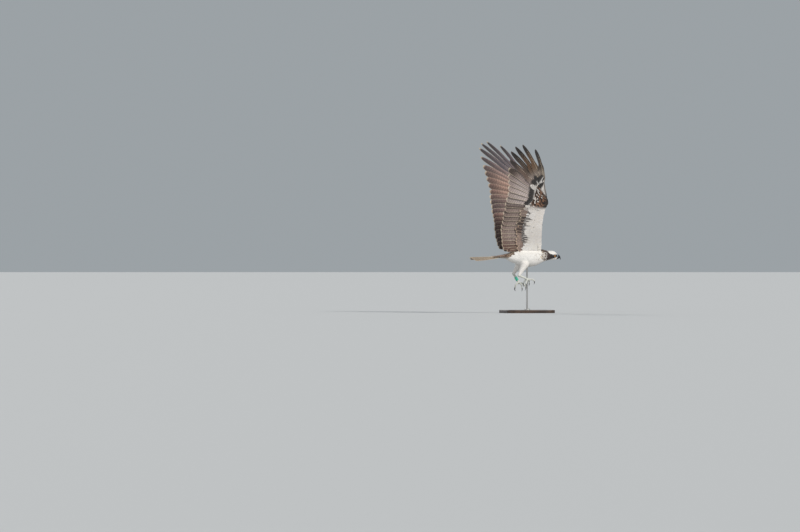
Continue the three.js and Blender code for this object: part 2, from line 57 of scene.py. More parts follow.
def place(points):
    """Turns points of the level bird, in millimetres, into the stand's frame in metres."""
    x, y, z = np.moveaxis(np.asarray(points, float), -1, 0)
    z = z - BANK_HEIGHT
    across = y * math.cos(BANK) - z * math.sin(BANK)
    height = BANK_HEIGHT + y * math.sin(BANK) + z * math.cos(BANK)
    return np.stack([x - STAND_X, across, height], -1) / MM_PER_M


print("the bird is turned by", round(math.degrees(BANK), 1), "degrees")

# %% [markdown]
# Three small tools come back in every step: directions of length one, a soft step between two values,
# and a smooth curve through a table of stations. With a curve, a few stations describe a whole form.

# %% Soften steps and join stations
def unit(vectors):
    """The same directions at length one."""
    return vectors / np.maximum(np.linalg.norm(vectors, axis=-1, keepdims=True), 1e-9)


def ease(low, high, value):
    """A smooth step from 0 at low to 1 at high."""
    t = np.clip((np.asarray(value, float) - low) / (high - low), 0, 1)
    return t * t * (3 - 2 * t)


def track(rows):
    """Smooth interpolation of a table against its first column."""
    rows = np.asarray(rows, float)
    before = np.maximum(np.arange(len(rows)) - 1, 0)
    after = np.minimum(np.arange(len(rows)) + 1, len(rows) - 1)
    slopes = (rows[after] - rows[before]) / (rows[after, :1] - rows[before, :1])

    def at(u):
        u = np.asarray(u, float)
        i = np.searchsorted(rows[1:-1, 0], u)
        span = (rows[i + 1, 0] - rows[i, 0])[..., None]
        t = (u - rows[i, 0])[..., None] / span
        start = (2 * t**3 - 3 * t**2 + 1) * rows[i] + (t**3 - 2 * t**2 + t) * span * slopes[i]
        end = (3 * t**2 - 2 * t**3) * rows[i + 1] + (t**3 - t**2) * span * slopes[i + 1]
        return (start + end)[..., 1:]

    return at


print("a soft step a quarter of the way:", round(float(ease(0, 1, 0.25)), 3))

# %% [markdown]
# Every piece ends up as a mesh that may carry numbers at its points, such as a colour or how far along
# its feather a point lies. The finishes read those numbers, so markings follow the feathers. Setting
# whole arrays at once is far quicker than adding faces one by one.

# %% Make a mesh from arrays
import bpy

KINDS = {3: ("FLOAT_VECTOR", "vector"), 4: ("FLOAT_COLOR", "color")}


def mesh_piece(name, points, faces, numbers=None, uv=None, sharp=50, level=True):
    """A smooth mesh object with numbers at its points and a map. level is for points of the bird."""
    faces = [np.asarray(block, np.int32) for block in faces if len(block)]
    mesh = bpy.data.meshes.new(name)
    points = place(points) if level else np.asarray(points, float)
    mesh.vertices.add(len(points))
    mesh.vertices.foreach_set("co", points.astype(np.float32).ravel())
    corners = np.concatenate([block.ravel() for block in faces])
    counts = np.concatenate([np.full(len(block), block.shape[1]) for block in faces])
    mesh.loops.add(len(corners))
    mesh.loops.foreach_set("vertex_index", corners)
    mesh.polygons.add(len(counts))
    mesh.polygons.foreach_set("loop_start", np.concatenate([[0], np.cumsum(counts)[:-1]]))
    mesh.update(calc_edges=True)
    for key, values in (numbers or {}).items():
        kind, field = KINDS[values.shape[-1]]
        stored = mesh.attributes.new(key, kind, "POINT")
        stored.data.foreach_set(field, values.astype(np.float32).ravel())
    if uv is not None:
        layer = mesh.uv_layers.new(name="OFBake")
        layer.data.foreach_set("uv", uv.astype(np.float32)[corners].ravel())
    mesh.shade_smooth()
    mesh.set_sharp_from_angle(angle=math.radians(sharp))
    piece = bpy.data.objects.new(name, mesh)
    bpy.context.collection.objects.link(piece)
    return piece


# %% [markdown]
# A finished piece also gets its finish and the body that it rides on, and the plain solids that it
# stands for then no longer show.

# %% Hand over a piece
def finish_piece(piece, material, slot, *nodes):
    """Gives a piece its finish and the root to ride on, and hides the solids that it stands for. slot is
    not used.
    """
    piece.data.materials.clear()
    piece.data.materials.append(material)
    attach(piece, "root")
    if nodes:
        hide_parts(*nodes)
    print(piece.name, len(piece.data.polygons), "faces")


# %% [markdown]
# Trunk, limbs, bill and claws are all lofts: rings of points skinned one to the next. A loft needs only
# a few measured stations and gives an even mesh that bends and tapers as flesh and horn do.

# %% Loft rings into a closed form
def circle(sides):
    """Even angles all the way round."""
    return np.linspace(0, 2 * np.pi, sides, endpoint=False)


def grid_faces(grid, ring=False, closed=False):
    """Four-cornered faces on a grid of point numbers, whose rows, or columns too, may close."""
    if ring:
        grid = np.column_stack([grid, grid[:, 0]])
    if closed:
        grid = np.vstack([grid, grid[:1]])
    corners = [grid[:-1, :-1], grid[:-1, 1:], grid[1:, 1:], grid[1:, :-1]]
    return np.stack(corners, -1).reshape(-1, 4)


def loft(rings):
    """Points and faces of a closed skin over equal rings, an array of rings, points and xyz."""
    rings = np.asarray(rings, float)
    count, sides = rings.shape[:2]
    grid = np.arange(count * sides).reshape(count, sides)
    quads = grid_faces(grid, ring=True)
    points = np.concatenate([rings.reshape(-1, 3), rings[[0, -1]].mean(1)])
    low = [np.full(sides, grid.size), np.roll(grid[0], -1), grid[0]]
    high = [np.full(sides, grid.size + 1), grid[-1], np.roll(grid[-1], -1)]
    caps = np.concatenate([np.stack(low, -1), np.stack(high, -1)])
    triangles = np.concatenate([caps, quads[:, :3], quads[:, [0, 2, 3]]])
    a, b, c = np.moveaxis(points[triangles], 1, 0)
    inside_out = (a * np.cross(b, c)).sum() < 0
    return points, [block[:, ::-1] if inside_out else block for block in (quads, caps)]


# %% [markdown]
# A limb is a loft of round rings along a bent path. Where lofts overlap, a voxel remesh wraps one even
# skin around all of them, which gives the smooth fillets that skin has in the armpit and the groin.

# %% Round the limbs and fuse the forms
def limb_rings(path, radii, sides=16):
    """Round rings along a path of points, with a radius at each."""
    path = np.asarray(path, float)
    along = unit(np.gradient(path, axis=0))
    across = unit(np.array([0, 1, 0]) - along * along[:, 1:2])
    up = np.cross(along, across)
    angle = circle(sides)[:, None]
    spokes = np.cos(angle) * across[:, None] + np.sin(angle) * up[:, None]
    return path[:, None] + spokes * np.asarray(radii, float)[:, None, None]


def joined(forms):
    """Several closed forms as one set of points and faces."""
    points, faces, start = [], [], 0
    for form_points, form_faces in forms:
        points.append(form_points)
        faces += [block + start for block in form_faces]
        start += len(form_points)
    return np.concatenate(points), faces


def fused(forms, voxel, smoothing):
    """One even skin over several overlapping forms, as points and four-cornered faces."""
    points, faces = joined(forms)
    lump = mesh_piece("lump", points, faces, level=False)
    remesh = lump.modifiers.new("Fuse", "REMESH")
    remesh.mode = "VOXEL"
    remesh.voxel_size = voxel
    smooth = lump.modifiers.new("Ease", "SMOOTH")
    smooth.iterations = smoothing
    seen = lump.evaluated_get(bpy.context.evaluated_depsgraph_get()).to_mesh()
    points = np.empty(len(seen.vertices) * 3, np.float32)
    seen.vertices.foreach_get("co", points)
    corners = np.empty(len(seen.loops), np.int32)
    seen.loops.foreach_get("vertex_index", corners)
    bpy.data.objects.remove(lump)
    return points.reshape(-1, 3).astype(float), corners.reshape(-1, 4)


# %% [markdown]
# The trunk runs from the rump to the face as one spindle, deepest at the breast. Each station gives its
# top, its bottom and half its width, and a curve a little squarer than an ellipse joins them round. The
# skin lies two millimetres deeper, to leave room for the feathers.

# %% Measure the trunk
# x, height of the top, height of the bottom, half the width
trunk_at = track([
    [-64, 351, 330, 17], [-40, 361, 313, 30], [0, 379, 296, 43], [40, 392, 284, 51],
    [80, 398, 276, 56], [120, 396, 281, 54], [150, 389, 294, 46], [175, 382, 306, 37],
    [200, 376, 314, 30], [218, 375, 316, 27.5], [236, 374, 317, 25.5], [250, 369, 319, 21],
    [258, 361, 322, 16], [262, 356, 325, 12],
])
TRUNK_ROUNDNESS = 2.15
TRUNK_END, FACE_X = -62, 262
COAT_DEPTH = 2.0


def trunk_point(x, angle, grow=0.0):
    """A point of the trunk's surface. Angle 0 is its left side and a quarter turn its back."""
    top, bottom, half = np.moveaxis(trunk_at(x), -1, 0)
    power = 2 / TRUNK_ROUNDNESS
    c, s = np.cos(angle), np.sin(angle)
    y = (half + grow) * np.sign(c) * np.abs(c) ** power
    z = (top + bottom) / 2 + ((top - bottom) / 2 + grow) * np.sign(s) * np.abs(s) ** power
    return np.stack(np.broadcast_arrays(x, y, z), -1)


body_rings = trunk_point(np.linspace(TRUNK_END, FACE_X, 110)[:, None], circle(40), -COAT_DEPTH)
print("the trunk is", round(float(np.ptp(body_rings[..., 2]))), "mm deep")

# %% [markdown]
# Behind the trunk the rump thins out into the tail. Its rings are copies of the trunk's last ring, made
# lower and narrower as they go back.

# %% Draw out the rump
RUMP_MIDDLE = np.array([0, 0, 340.5])
RUMP_OVERLAP = 6
# How far back, shares of the last ring's height and width, and how far it sinks
RUMP = [(0, 1, 1, 0), (22, 0.92, 1.02, 0), (50, 0.62, 1.05, -4), (78, 0.3, 0.95, -7)]
last_ring = body_rings[0] - RUMP_MIDDLE
rump_rings = [last_ring * [1, wide, tall] + (RUMP_MIDDLE + [RUMP_OVERLAP - back, 0, drop])
              for back, tall, wide, drop in RUMP]
print("the rump ends at x", rump_rings[-1][0, 0])

# %% [markdown]
# Each wing's flesh is a long thin loft from the shoulder past the wrist to the end of the hand. Its
# section is blunt in front, thin behind and bowed upwards, as the section of any wing.

# %% Measure the flesh of a wing
# Front edge, rear edge and thickness of the left wing's flesh
WING_CORE = np.array([
    [160, 24, 345, 12, 20, 362, 30], [152, 50, 420, 12, 52, 430, 30],
    [145, 80, 505, 6, 80, 512, 26], [144, 97, 565, 16, 100, 578, 22],
    [148, 114, 622, 44, 122, 640, 19], [158, 131, 668, 72, 143, 690, 18],
    [147, 151, 711, 74, 165, 737, 14], [128, 178, 762, 72, 192, 788, 11],
    [112, 201, 806, 76, 214, 828, 8], [101, 219, 838, 88, 228, 850, 5],
], float)
# Share from front to rear, and height as a share of half the thickness
WING_SECTION = [[0, 0], [0.06, 0.6], [0.28, 1], [0.62, 0.7], [1, 0.1],
                [1, -0.1], [0.62, -0.5], [0.28, -0.8], [0.06, -0.5]]
WING_CAMBER = 9
FLESH_START, FLESH_SHARE = 0.02, 0.88
FINE_RINGS = 60


def wing_flesh(side):
    """The flesh of one wing, thinned by the coat's depth."""
    front, rear, thick = WING_CORE[:, :3], WING_CORE[:, 3:6], WING_CORE[:, 6:]
    thin = np.maximum(thick - 2 * COAT_DEPTH, 0.7 * thick)
    up = unit(np.cross(np.gradient(front + rear, axis=0), rear - front))
    rings = []
    for share, height in WING_SECTION:
        camber = WING_CAMBER * thick / thick.max() * 4 * share * (1 - share)
        inset = FLESH_START + share * FLESH_SHARE
        rings.append(front + (rear - front) * inset + up * (height * thin / 2 + camber))
    flesh = np.stack(rings, 1)
    fine = track(np.column_stack([np.arange(len(flesh)), flesh.reshape(len(flesh), -1)]))
    rings = fine(np.linspace(0, len(flesh) - 1, FINE_RINGS)).reshape(FINE_RINGS, -1, 3)
    return loft(rings * [1, side, 1])


print("a wing's flesh reaches up to", WING_CORE[-1, 5], "mm")

# %% [markdown]
# The legs hang low and uneven, with open toes. A thigh is a cone from hip to heel. Each toe is given by
# the way that it points in degrees, how far it reaches and how far it drops.

# %% Measure the legs
LEGS = {
    "right": {
        "hip": np.array([66.0, -30, 320]), "heel": np.array([10.0, -50, 228]),
        "foot": np.array([66.0, -50, 205]),
        "toes": {"front": (12, 44, 10), "inner": (62, 36, 22), "outer": (-128, 34, 26),
                 "hind": (158, 28, 24)},
    },
    "left": {
        "hip": np.array([56.0, 30, 320]), "heel": np.array([4.0, 40, 233]),
        "foot": np.array([36.0, 35, 181]),
        "toes": {"front": (-14, 42, 24), "inner": (-72, 34, 30), "outer": (118, 34, 30),
                 "hind": (-162, 28, 28)},
    },
}
THIGH_SHARES = np.array([0, 0.1, 0.3, 0.58, 0.85, 1])
THIGH_RADII = np.array([0.45, 0.8, 1, 0.7, 0.46, 0.38]) * 25
THIGH_COAT = 1.5


def thigh_flesh(leg):
    """The cone of flesh from hip to heel."""
    path = leg["hip"] + (leg["heel"] - leg["hip"]) * THIGH_SHARES[:, None]
    return loft(limb_rings(path, THIGH_RADII - THIGH_COAT, 20))


print("thighs of", [round(float(np.linalg.norm(leg["heel"] - leg["hip"]))) for leg in LEGS.values()], "mm")

# %% [markdown]
# A ridge of bone over each eye shades it and gives the bird its frown. It is a small bent limb that
# follows the eye's curve, half sunk into the head.

# %% Raise the brows
EYE = np.array([243, 17.2, 343])
EYE_RADIUS = 7.6
BROW_STATIONS = np.array([-12.0, -6, 0, 6, 11])
BROW_RADII = [1.0, 2.3, 3.0, 2.7, 1.0]


def ridge_point(x, side):
    """The crest above an eye, x millimetres in front of the eye's middle."""
    return EYE * [1, side, 1] + np.stack([x, side * (4.9 - 0.016 * x**2), 8.4 - 0.02 * x**2], -1)


def brow(side):
    return loft(limb_rings(ridge_point(BROW_STATIONS, side), BROW_RADII, 12))


print("the brows rise to", round(float(ridge_point(BROW_STATIONS, 1)[:, 2].max()), 1), "mm")

# %% [markdown]
# Now the forms become one skin. A search tree over it answers, for any point near the bird, where the
# skin is and which way it faces. Every feather is laid with its help.

# %% Fuse the skin
from mathutils import Vector
from mathutils.bvhtree import BVHTree

flesh = [loft(body_rings), wing_flesh(1), wing_flesh(-1), loft(rump_rings)]
flesh += [thigh_flesh(leg) for leg in LEGS.values()] + [brow(1), brow(-1)]
skin_points, skin_faces = fused(flesh, voxel=2.2, smoothing=5)
skin_tree = BVHTree.FromPolygons(skin_points.tolist(), skin_faces.tolist())


def on_skin(points):
    """The nearest points of the skin, and its directions outwards there."""
    shape = np.shape(points)
    found = [skin_tree.find_nearest(Vector(p))[:2] for p in np.reshape(points, (-1, 3))]
    near, outward = zip(*found)
    return np.reshape(near, shape), np.reshape(outward, shape)


print("skin faces:", len(skin_faces))

# %% [markdown]
# Colours are plain tones of plumage: white and cream below, dark brown with pale fringes above, as a
# young bird wears them. Blender works in linear light, so each tone is converted once, here. Where a
# tone carries a fourth number, that is how strongly it shows.

# %% Mix the plumage tones
def tone(*screen):
    """Screen colours, red, green and blue last, in Blender's linear light."""
    screen = np.asarray(screen[0] if len(screen) == 1 else screen, float)
    curved = ((np.maximum(screen, 0.04) + 0.055) / 1.055) ** 2.4
    return np.where(screen < 0.04045, screen / 12.92, curved)


WHITE = tone(0.93, 0.915, 0.895)
CREAM = tone(0.87, 0.80, 0.70)
BUFF = tone(0.80, 0.66, 0.55)
RUFOUS = tone(0.45, 0.28, 0.20)
BROWN = tone(0.27, 0.20, 0.17)
BLACKISH = tone(0.11, 0.085, 0.08)
SLATE = tone(0.27, 0.23, 0.28)
PINK_BROWN = tone(0.52, 0.40, 0.37)
GREY_BUFF = tone(0.77, 0.72, 0.69)
GREY_BROWN = tone(0.55, 0.47, 0.43)


def blend(a, b, share):
    """A mix of two tones, by a share that may be an array."""
    return a + (b - a) * np.asarray(share, float)[..., None]


def strong(tones, strength=1.0):
    """Tones with their strength as a fourth number. Either may be an array."""
    shape = np.broadcast_shapes(np.shape(tones)[:-1], np.shape(strength))
    strength = np.broadcast_to(strength, shape)[..., None]
    return np.concatenate([np.broadcast_to(tones, shape + (3,)), strength], -1)


print("white plumage in linear light:", WHITE.round(2))

# %% [markdown]
# Two dark marks cover the white: the back, from the shoulders to the rump, and a stripe from the bill
# through the eye to the nape. Both are found by place, with a soft and slightly random border, so that
# single feathers decide it and no ruled line shows.

# %% Find the dark back and the eye stripe
# x, and how high the dark back begins there, as a share of half the trunk's depth
BACK_X = [-64, -45, -20, 10, 50, 150, 175, 205]
BACK_BORDER = [-0.35, -0.25, 0.05, 0.4, 0.62, 0.62, 0.5, 0.55]
# x, the stripe's top and its bottom on the side of the head
STRIPE = track([
    [158, 356, 338], [170, 366, 327], [185, 372, 319], [200, 376, 317], [208, 371, 319],
    [215, 362, 321], [230, 352, 325], [240, 351.5, 329], [250, 352, 332.5], [262, 350, 337.5],
])
WING_GAP = (8, 163)  # where along the body a wing grows out of it
CHEEK_X, CROWN_X, NAPE_X = 202, 200, 160


def back_share(x, y, z, height, chance):
    """How far a place belongs to the dark back, which passes between the wings' roots."""
    share = ease(-0.10, 0.10, height - np.interp(x, BACK_X, BACK_BORDER) + 0.12 * (chance - 0.5))
    share *= 1 - ease(203, 210, x)
    beside_wing = (x < WING_GAP[0]) | (x > WING_GAP[1])
    wing_root = np.interp(z, [345, 420], [24, 50]) + 100 * beside_wing
    return share * ease(2, -2, np.abs(y) - wing_root + 2)


def stripe_share(x, y, z, chance):
    """How far a place belongs to the eye stripe, which breaks up into single marks on the neck."""
    high, low = np.moveaxis(STRIPE(np.clip(x, 158, FACE_X)), -1, 0)
    wobble = 5 * (chance - 0.5)
    share = ease(-1.2, 1.2, high - z + wobble) * ease(-1.2, 1.2, z - low + wobble)
    share *= ease(157, 172, x + 14 * (chance - 0.5)) * (np.abs(y) > 6)
    return np.where((chance < 0.38) & (x < CHEEK_X), 0.12 * share, share)


print("the stripe is", np.subtract(*STRIPE(EYE[0])).round(1), "mm tall at the eye")

# %% [markdown]
# With the two marks known, each body feather gets its tone and its fringe by where it grows and by a
# random number of its own: pale flecks on the breast, rufous towards the rump, dark flecks on the crown.

# %% Colour a body feather by its place
def body_colour(points, chance):
    """Base tone and fringe of body feathers. chance is a random 0 to 1 for each."""
    x, y, z = np.moveaxis(points, -1, 0)
    top, bottom = np.moveaxis(trunk_at(np.clip(x, -64, FACE_X)), -1, 0)[:2]
    height = (z - (top + bottom) / 2) / ((top - bottom) / 2)
    dark_back = back_share(x, y, z, height, chance)
    fleck = (chance > 0.9) & (x > 125) & (x < 178) & (height < 0.75) & (height > -0.5)
    base = blend(WHITE, GREY_BROWN, 0.35 * fleck)
    base = blend(base, GREY_BUFF, 0.2 * ease(0.3, 1.0, chance) * ease(-0.2, -0.9, height))
    base = blend(base, blend(BROWN, RUFOUS, ease(20, -40, x) * (0.35 + 0.6 * chance)), dark_back)
    nape = blend(BROWN, CREAM, ease(0.5, 0.9, chance) * ease(205, 150, x))
    dark_head = blend(BLACKISH, nape, ease(235, 190, x))
    base = blend(base, dark_head, stripe_share(x, y, z, chance))
    crown = ease(360, 372, z) * ease(236, 212, x) * (x > CROWN_X) * (chance > 0.62)
    return blend(base, BROWN, 0.7 * crown), strong(CREAM, 0.85 * dark_back * (x < NAPE_X))


back_tone, back_fringe = body_colour(np.array([[60, 0, 396.0]]), np.array([0.5]))
print("a feather on the back:", back_tone.round(2), "with a fringe of", back_fringe.round(2))

# %% [markdown]
# Finishes are drawn by nodes. Wiring them by hand takes many clicks, so a small class gives the common
# steps short names: arithmetic, a soft step, a mix of colours, noise, and a bump.

# %% Wire nodes with short words
class Finish:
    """A material and short words for wiring its nodes."""

    def __init__(self, name, **shine):
        self.material = bpy.data.materials.new(name)
        self.material.use_nodes = True
        self.tree = self.material.node_tree
        self.shader = self.tree.nodes["Principled BSDF"]
        for socket, value in shine.items():
            socket = socket.replace("_", " ").title().replace("Ior", "IOR")
            self.shader.inputs[socket].default_value = value

    def node(self, kind, inputs=(), **settings):
        made = self.tree.nodes.new("ShaderNode" + kind)
        for key, value in settings.items():
            setattr(made, key, value)
        for key, value in dict(inputs).items():
            self.feed(made.inputs[key], value)
        return made

    def feed(self, socket, value):
        if isinstance(value, bpy.types.NodeSocket):
            self.tree.links.new(value, socket)
        else:
            socket.default_value = value

    def maths(self, operation, *values):
        return self.node("Math", dict(enumerate(values)), operation=operation).outputs[0]

    def times(self, first, second):
        return self.maths("MULTIPLY", first, second)

    def step(self, value, low, high, start=0.0, end=1.0):
        inputs = {"Value": value, "From Min": low, "From Max": high, "To Min": start, "To Max": end}
        return self.node("MapRange", inputs, interpolation_type="SMOOTHSTEP").outputs[0]

    def mix(self, share, first, second, how="MIX"):
        made = self.node("Mix", {0: share, 6: first, 7: second}, data_type="RGBA", blend_type=how)
        return made.outputs[2]

    def shaded(self, colour, light):
        """A colour made lighter or darker by a number."""
        grey = self.node("CombineColor", {0: light, 1: light, 2: light}).outputs[0]
        return self.mix(1.0, colour, grey, "MULTIPLY")

    def read(self, name, output="Vector"):
        return self.node("Attribute", attribute_name=name).outputs[output]

    def split(self, vector):
        return self.node("SeparateXYZ", {0: vector}).outputs

    def stretched(self, parts, factors):
        """Three numbers, each multiplied, as one vector."""
        scaled = [self.times(part, factor) for part, factor in zip(parts, factors)]
        return self.node("CombineXYZ", dict(enumerate(scaled))).outputs[0]

    def grain(self, vector, scale=1.0, detail=3.0):
        return self.node("TexNoise", {"Vector": vector, "Scale": scale, "Detail": detail}).outputs[0]

    def where(self):
        return self.node("TexCoord").outputs["Object"]

    def colour(self, value):
        self.feed(self.shader.inputs["Base Color"], value)

    def rough(self, value):
        self.feed(self.shader.inputs["Roughness"], value)

    def bump(self, height, strength, depth):
        made = self.node("Bump", {"Strength": strength, "Distance": depth, "Height": height})
        self.feed(self.shader.inputs["Normal"], made.outputs[0])


print("words for nodes:", [word for word in vars(Finish) if word[0] != "_"])

# %% [markdown]
# A feather's finish is drawn from the numbers on its points: how far along and across the vane each
# spot lies. Bars cross the vane, a fringe follows its edge, and fine barbs slant away from the shaft.
# No picture is needed, and the pattern stays sharp at any distance.

# %% Finish the feathers
BAR_PERIOD = 15.0  # millimetres from one bar to the next
BARB_SLANT = 9.0  # how far a barb runs forwards from shaft to edge
BARB_WIDTH, PATCH_WIDTH = (1.1, 1.3, 40.0), (0.09, 1.6, 40.0)
BAR_TONE, STREAK_TONE = (0.42, 0.38, 0.38, 1), (0.35, 0.3, 0.3, 1)


def feather_finish(name, roughness, edge_from, tip_from):
    """The finish of all feathers. It reads vane (along, across, length), habit and the two tones."""
    f = Finish(name, roughness=roughness, sheen_weight=0.15, sheen_roughness=0.5)
    along, across, length = f.split(f.read("vane"))
    seed, bars, streak = f.split(f.read("habit"))
    side = f.maths("ABSOLUTE", across)
    run = f.times(along, length)
    slant = f.maths("SUBTRACT", run, f.times(side, BARB_SLANT))
    barbs = f.grain(f.stretched((slant, across, seed), BARB_WIDTH), detail=2.0)
    patch = f.grain(f.stretched((run, across, seed), PATCH_WIDTH), detail=2.0)
    turns = f.maths("ADD", f.maths("DIVIDE", slant, BAR_PERIOD), f.times(patch, 0.9))
    barred = f.times(f.step(f.maths("SINE", f.times(turns, 2 * math.pi)), -0.1, 0.55), bars)
    ragged = f.maths("ADD", side, f.times(f.maths("SUBTRACT", barbs, 0.5), 0.18))
    edge = f.maths("MAXIMUM", f.step(ragged, edge_from, edge_from + 0.12),
                   f.step(along, tip_from, tip_from + 0.04))
    shaft = f.times(f.step(side, 0.16, 0.04), streak)
    base = f.read("tint", "Color")
    base = f.mix(barred, base, f.mix(1.0, base, BAR_TONE, "MULTIPLY"))
    base = f.mix(shaft, base, f.mix(1.0, base, STREAK_TONE, "MULTIPLY"))
    base = f.mix(f.times(edge, f.read("fringe", "Alpha")), base, f.read("fringe", "Color"))
    light = f.times(f.step(barbs, 0.25, 0.75, 0.84, 1.1), f.step(patch, 0.3, 0.7, 0.9, 1.06))
    f.colour(f.shaded(base, light))
    f.bump(barbs, 0.35, 0.0004)
    print("finish", name, "with", len(f.tree.nodes), "nodes")
    return f.material


plume = feather_finish("plume", 0.78, 0.78, 0.90)
quill = feather_finish("quill", 0.6, 0.88, 0.955)

# %% [markdown]
# A feather here is a small grid of points: rows from root to tip and columns across. Copies of the grid
# a hair apart make its two faces, and a rim closes them, so that every vane is a real thin solid.

# %% Shape one vane
def vane_faces(rows, columns):
    """Faces of one vane: back grid, belly grid and the rim between them."""
    grid = np.arange(rows * columns).reshape(rows, columns)
    back = grid_faces(grid)
    belly = back[:, ::-1] + grid.size
    edge = np.concatenate([grid[0, :-1], grid[:-1, -1], grid[-1, :0:-1], grid[:0:-1, 0]])
    nxt = np.roll(edge, -1)
    rim = np.stack([edge, edge + grid.size, nxt + grid.size, nxt], -1)
    return np.concatenate([back, belly, rim])


def grid_outward(middle, up):
    """Directions outwards from grids of points, on the side that up tells."""
    normal = unit(np.cross(np.gradient(middle, axis=1), np.gradient(middle, axis=2)))
    facing = np.sign(np.einsum("nrcx,nrcx->nrc", normal, np.broadcast_to(up, normal.shape)))
    return normal * facing[..., None]


print("a vane of 6 by 3 points has", len(vane_faces(6, 3)), "faces")

# %% [markdown]
# All the feathers of a piece are worked out together, as one array, and gathered until the piece is
# built. One source of random numbers serves them all, so that the bird comes out the same each time.

# %% Gather feathers in bulk
rng = np.random.default_rng(11)


def spread(value, shape):
    """A value for each feather, or for each of its points, at every point."""
    value = np.asarray(value, float)
    if value.ndim == 2:
        value = value[:, None, None]
    return np.broadcast_to(value, shape + value.shape[-1:])


class Plumage:
    """Feathers of one piece, gathered as arrays."""

    def __init__(self):
        self.blocks, self.faces, self.count = [], [], 0

    def keep(self, points, faces, *numbers):
        """Stores alike feathers. points has one grid or two for each, and faces serve one feather."""
        each = int(np.prod(points.shape[1:-1]))
        starts = self.count + np.arange(len(points)) * each
        self.faces.append((faces[None] + starts[:, None, None]).reshape(-1, faces.shape[1]))
        self.count += len(points) * each
        flat = [np.broadcast_to(v, points.shape[:-1] + v.shape[-1:]).reshape(-1, v.shape[-1])
                for v in (points, *numbers)]
        self.blocks.append(flat)

    def add(self, middle, outward, half, along, across, length, under=(), streak=0.0, **looks):
        """Adds vanes from their middle surfaces, arrays of feathers, rows, columns and xyz.

        looks says tint, fringe, bars and uv, and under which of them differ on the belly side.
        """
        shape = middle.shape[:3]
        sides = [{"bars": 0.0, **looks}, {"bars": 0.0, **looks, **dict(under)}]
        seeds = rng.random((len(middle), 1, 1))

        def numbers(*values):
            return np.stack([np.broadcast_to(value, shape) for value in values], -1)

        def each(value):
            return np.reshape(value, (-1, 1, 1))

        vane = numbers(along[:, None], across, each(length))
        habits = [numbers(seeds, each(side["bars"]), each(streak)) for side in sides]
        self.keep(np.stack([middle + half * outward, middle - half * outward], 1),
                  vane_faces(len(along), len(across)),
                  np.stack([side["uv"] for side in sides], 1), vane[:, None], np.stack(habits, 1),
                  np.stack([strong(spread(side["tint"], shape)) for side in sides], 1),
                  np.stack([spread(side["fringe"], shape) for side in sides], 1))

    def build(self, name):
        points, uv, *numbers = [np.concatenate(column) for column in zip(*self.blocks)]
        numbers = dict(zip(("vane", "habit", "tint", "fringe"), numbers))
        return mesh_piece(name, points, [np.concatenate(self.faces)], numbers, uv)


print("first random number:", round(np.random.default_rng(11).random(), 3))

# %% [markdown]
# Body feathers are short and lie flat, each over the roots of the next. Every point of a feather is
# pulled onto the skin and lifted a little more towards the tip. That is what keeps thousands of them
# smooth on a curved body. Each also gets its own small patch on a map of the body.

# %% Lay a feather on the skin
BODY_ROWS = np.array([0, 0.25, 0.52, 0.78, 0.93, 1])
BODY_COLUMNS = np.array([-1, 0, 1])
BODY_WIDTH = np.array([0.45, 0.85, 1, 0.86, 0.52, 0.14])
HEAD_WIDTH = np.array([0.5, 0.9, 1, 0.72, 0.4, 0.08])
PATCH = 0.0015  # half a feather's patch on the map
FLOAT_HEIGHT = 1.5
LOOSE = (4, 9)  # a free feather lets go of skin that is further off than this
BODY_HALF = 0.08  # half the thickness of a vane


def map_place(points):
    """Where a point of the trunk or a leg lies on an unwrap of the skin: along it and around it."""
    x, y, z = np.moveaxis(points, -1, 0)
    around = np.arctan2(z - BANK_HEIGHT, y) / (2 * np.pi) + 0.5
    return np.stack([(x + 120) / 400, 0.02 + 0.96 * around], -1)


def patch_map(centre, rows, columns):
    """A small patch of the map around each feather's centre."""
    grid = np.broadcast_arrays(rows[:, None] * 2 - 1, columns)
    return centre[:, None, None] + PATCH * np.stack(grid, -1)


def lay_feathers(coat, roots, flow, length, width, lift, colours, streak=0.0, shape=BODY_WIDTH,
                 free=False):
    """Lays one feather at each root along flow, hugging the skin. A free one may reach past its edge."""
    near, normal = on_skin(roots)
    flow = unit(flow - normal * np.einsum("nx,nx->n", flow, normal)[:, None])
    side = np.cross(normal, flow)
    each = (slice(None), None, None)
    reach = (length[:, None] * BODY_ROWS)[..., None, None] * flow[each]
    spread_out = (width[:, None] * shape)[..., None, None] * BODY_COLUMNS[:, None] * side[each]
    floating = near[each] + reach + spread_out + normal[each] * FLOAT_HEIGHT
    middle, outward = on_skin(floating)
    if free:
        loose = ease(*LOOSE, np.linalg.norm(middle - floating, axis=-1))[..., None]
        middle = middle + (floating - middle) * loose
        outward = unit(outward + (normal[each] - outward) * loose)
    height = 0.2 + lift[:, None] * BODY_ROWS**1.2
    crown = 0.06 * width[:, None] * shape
    rise = height[..., None, None] + crown[..., None, None] * (1 - BODY_COLUMNS[:, None] ** 2)
    tint, fringe = colours
    coat.add(middle + outward * rise, outward, BODY_HALF, BODY_ROWS, BODY_COLUMNS, length, tint=tint,
             fringe=fringe, streak=streak, uv=patch_map(map_place(near), BODY_ROWS, BODY_COLUMNS))


print("a body feather has", BODY_ROWS.size * BODY_COLUMNS.size, "points on each face")

# %% [markdown]
# The head comes first. Small feathers cover the crest over each eye, and short bristles at the face lean
# forward over the base of the bill. Rings round the trunk would miss both, so they are set apart.

# %% Bristle the face and cover the brows
BROW_ROWS, BROW_ROUND = 16, 8
BRISTLES = 90
BRISTLE_X = [254.0, 257.0, 259.5, 261.5]


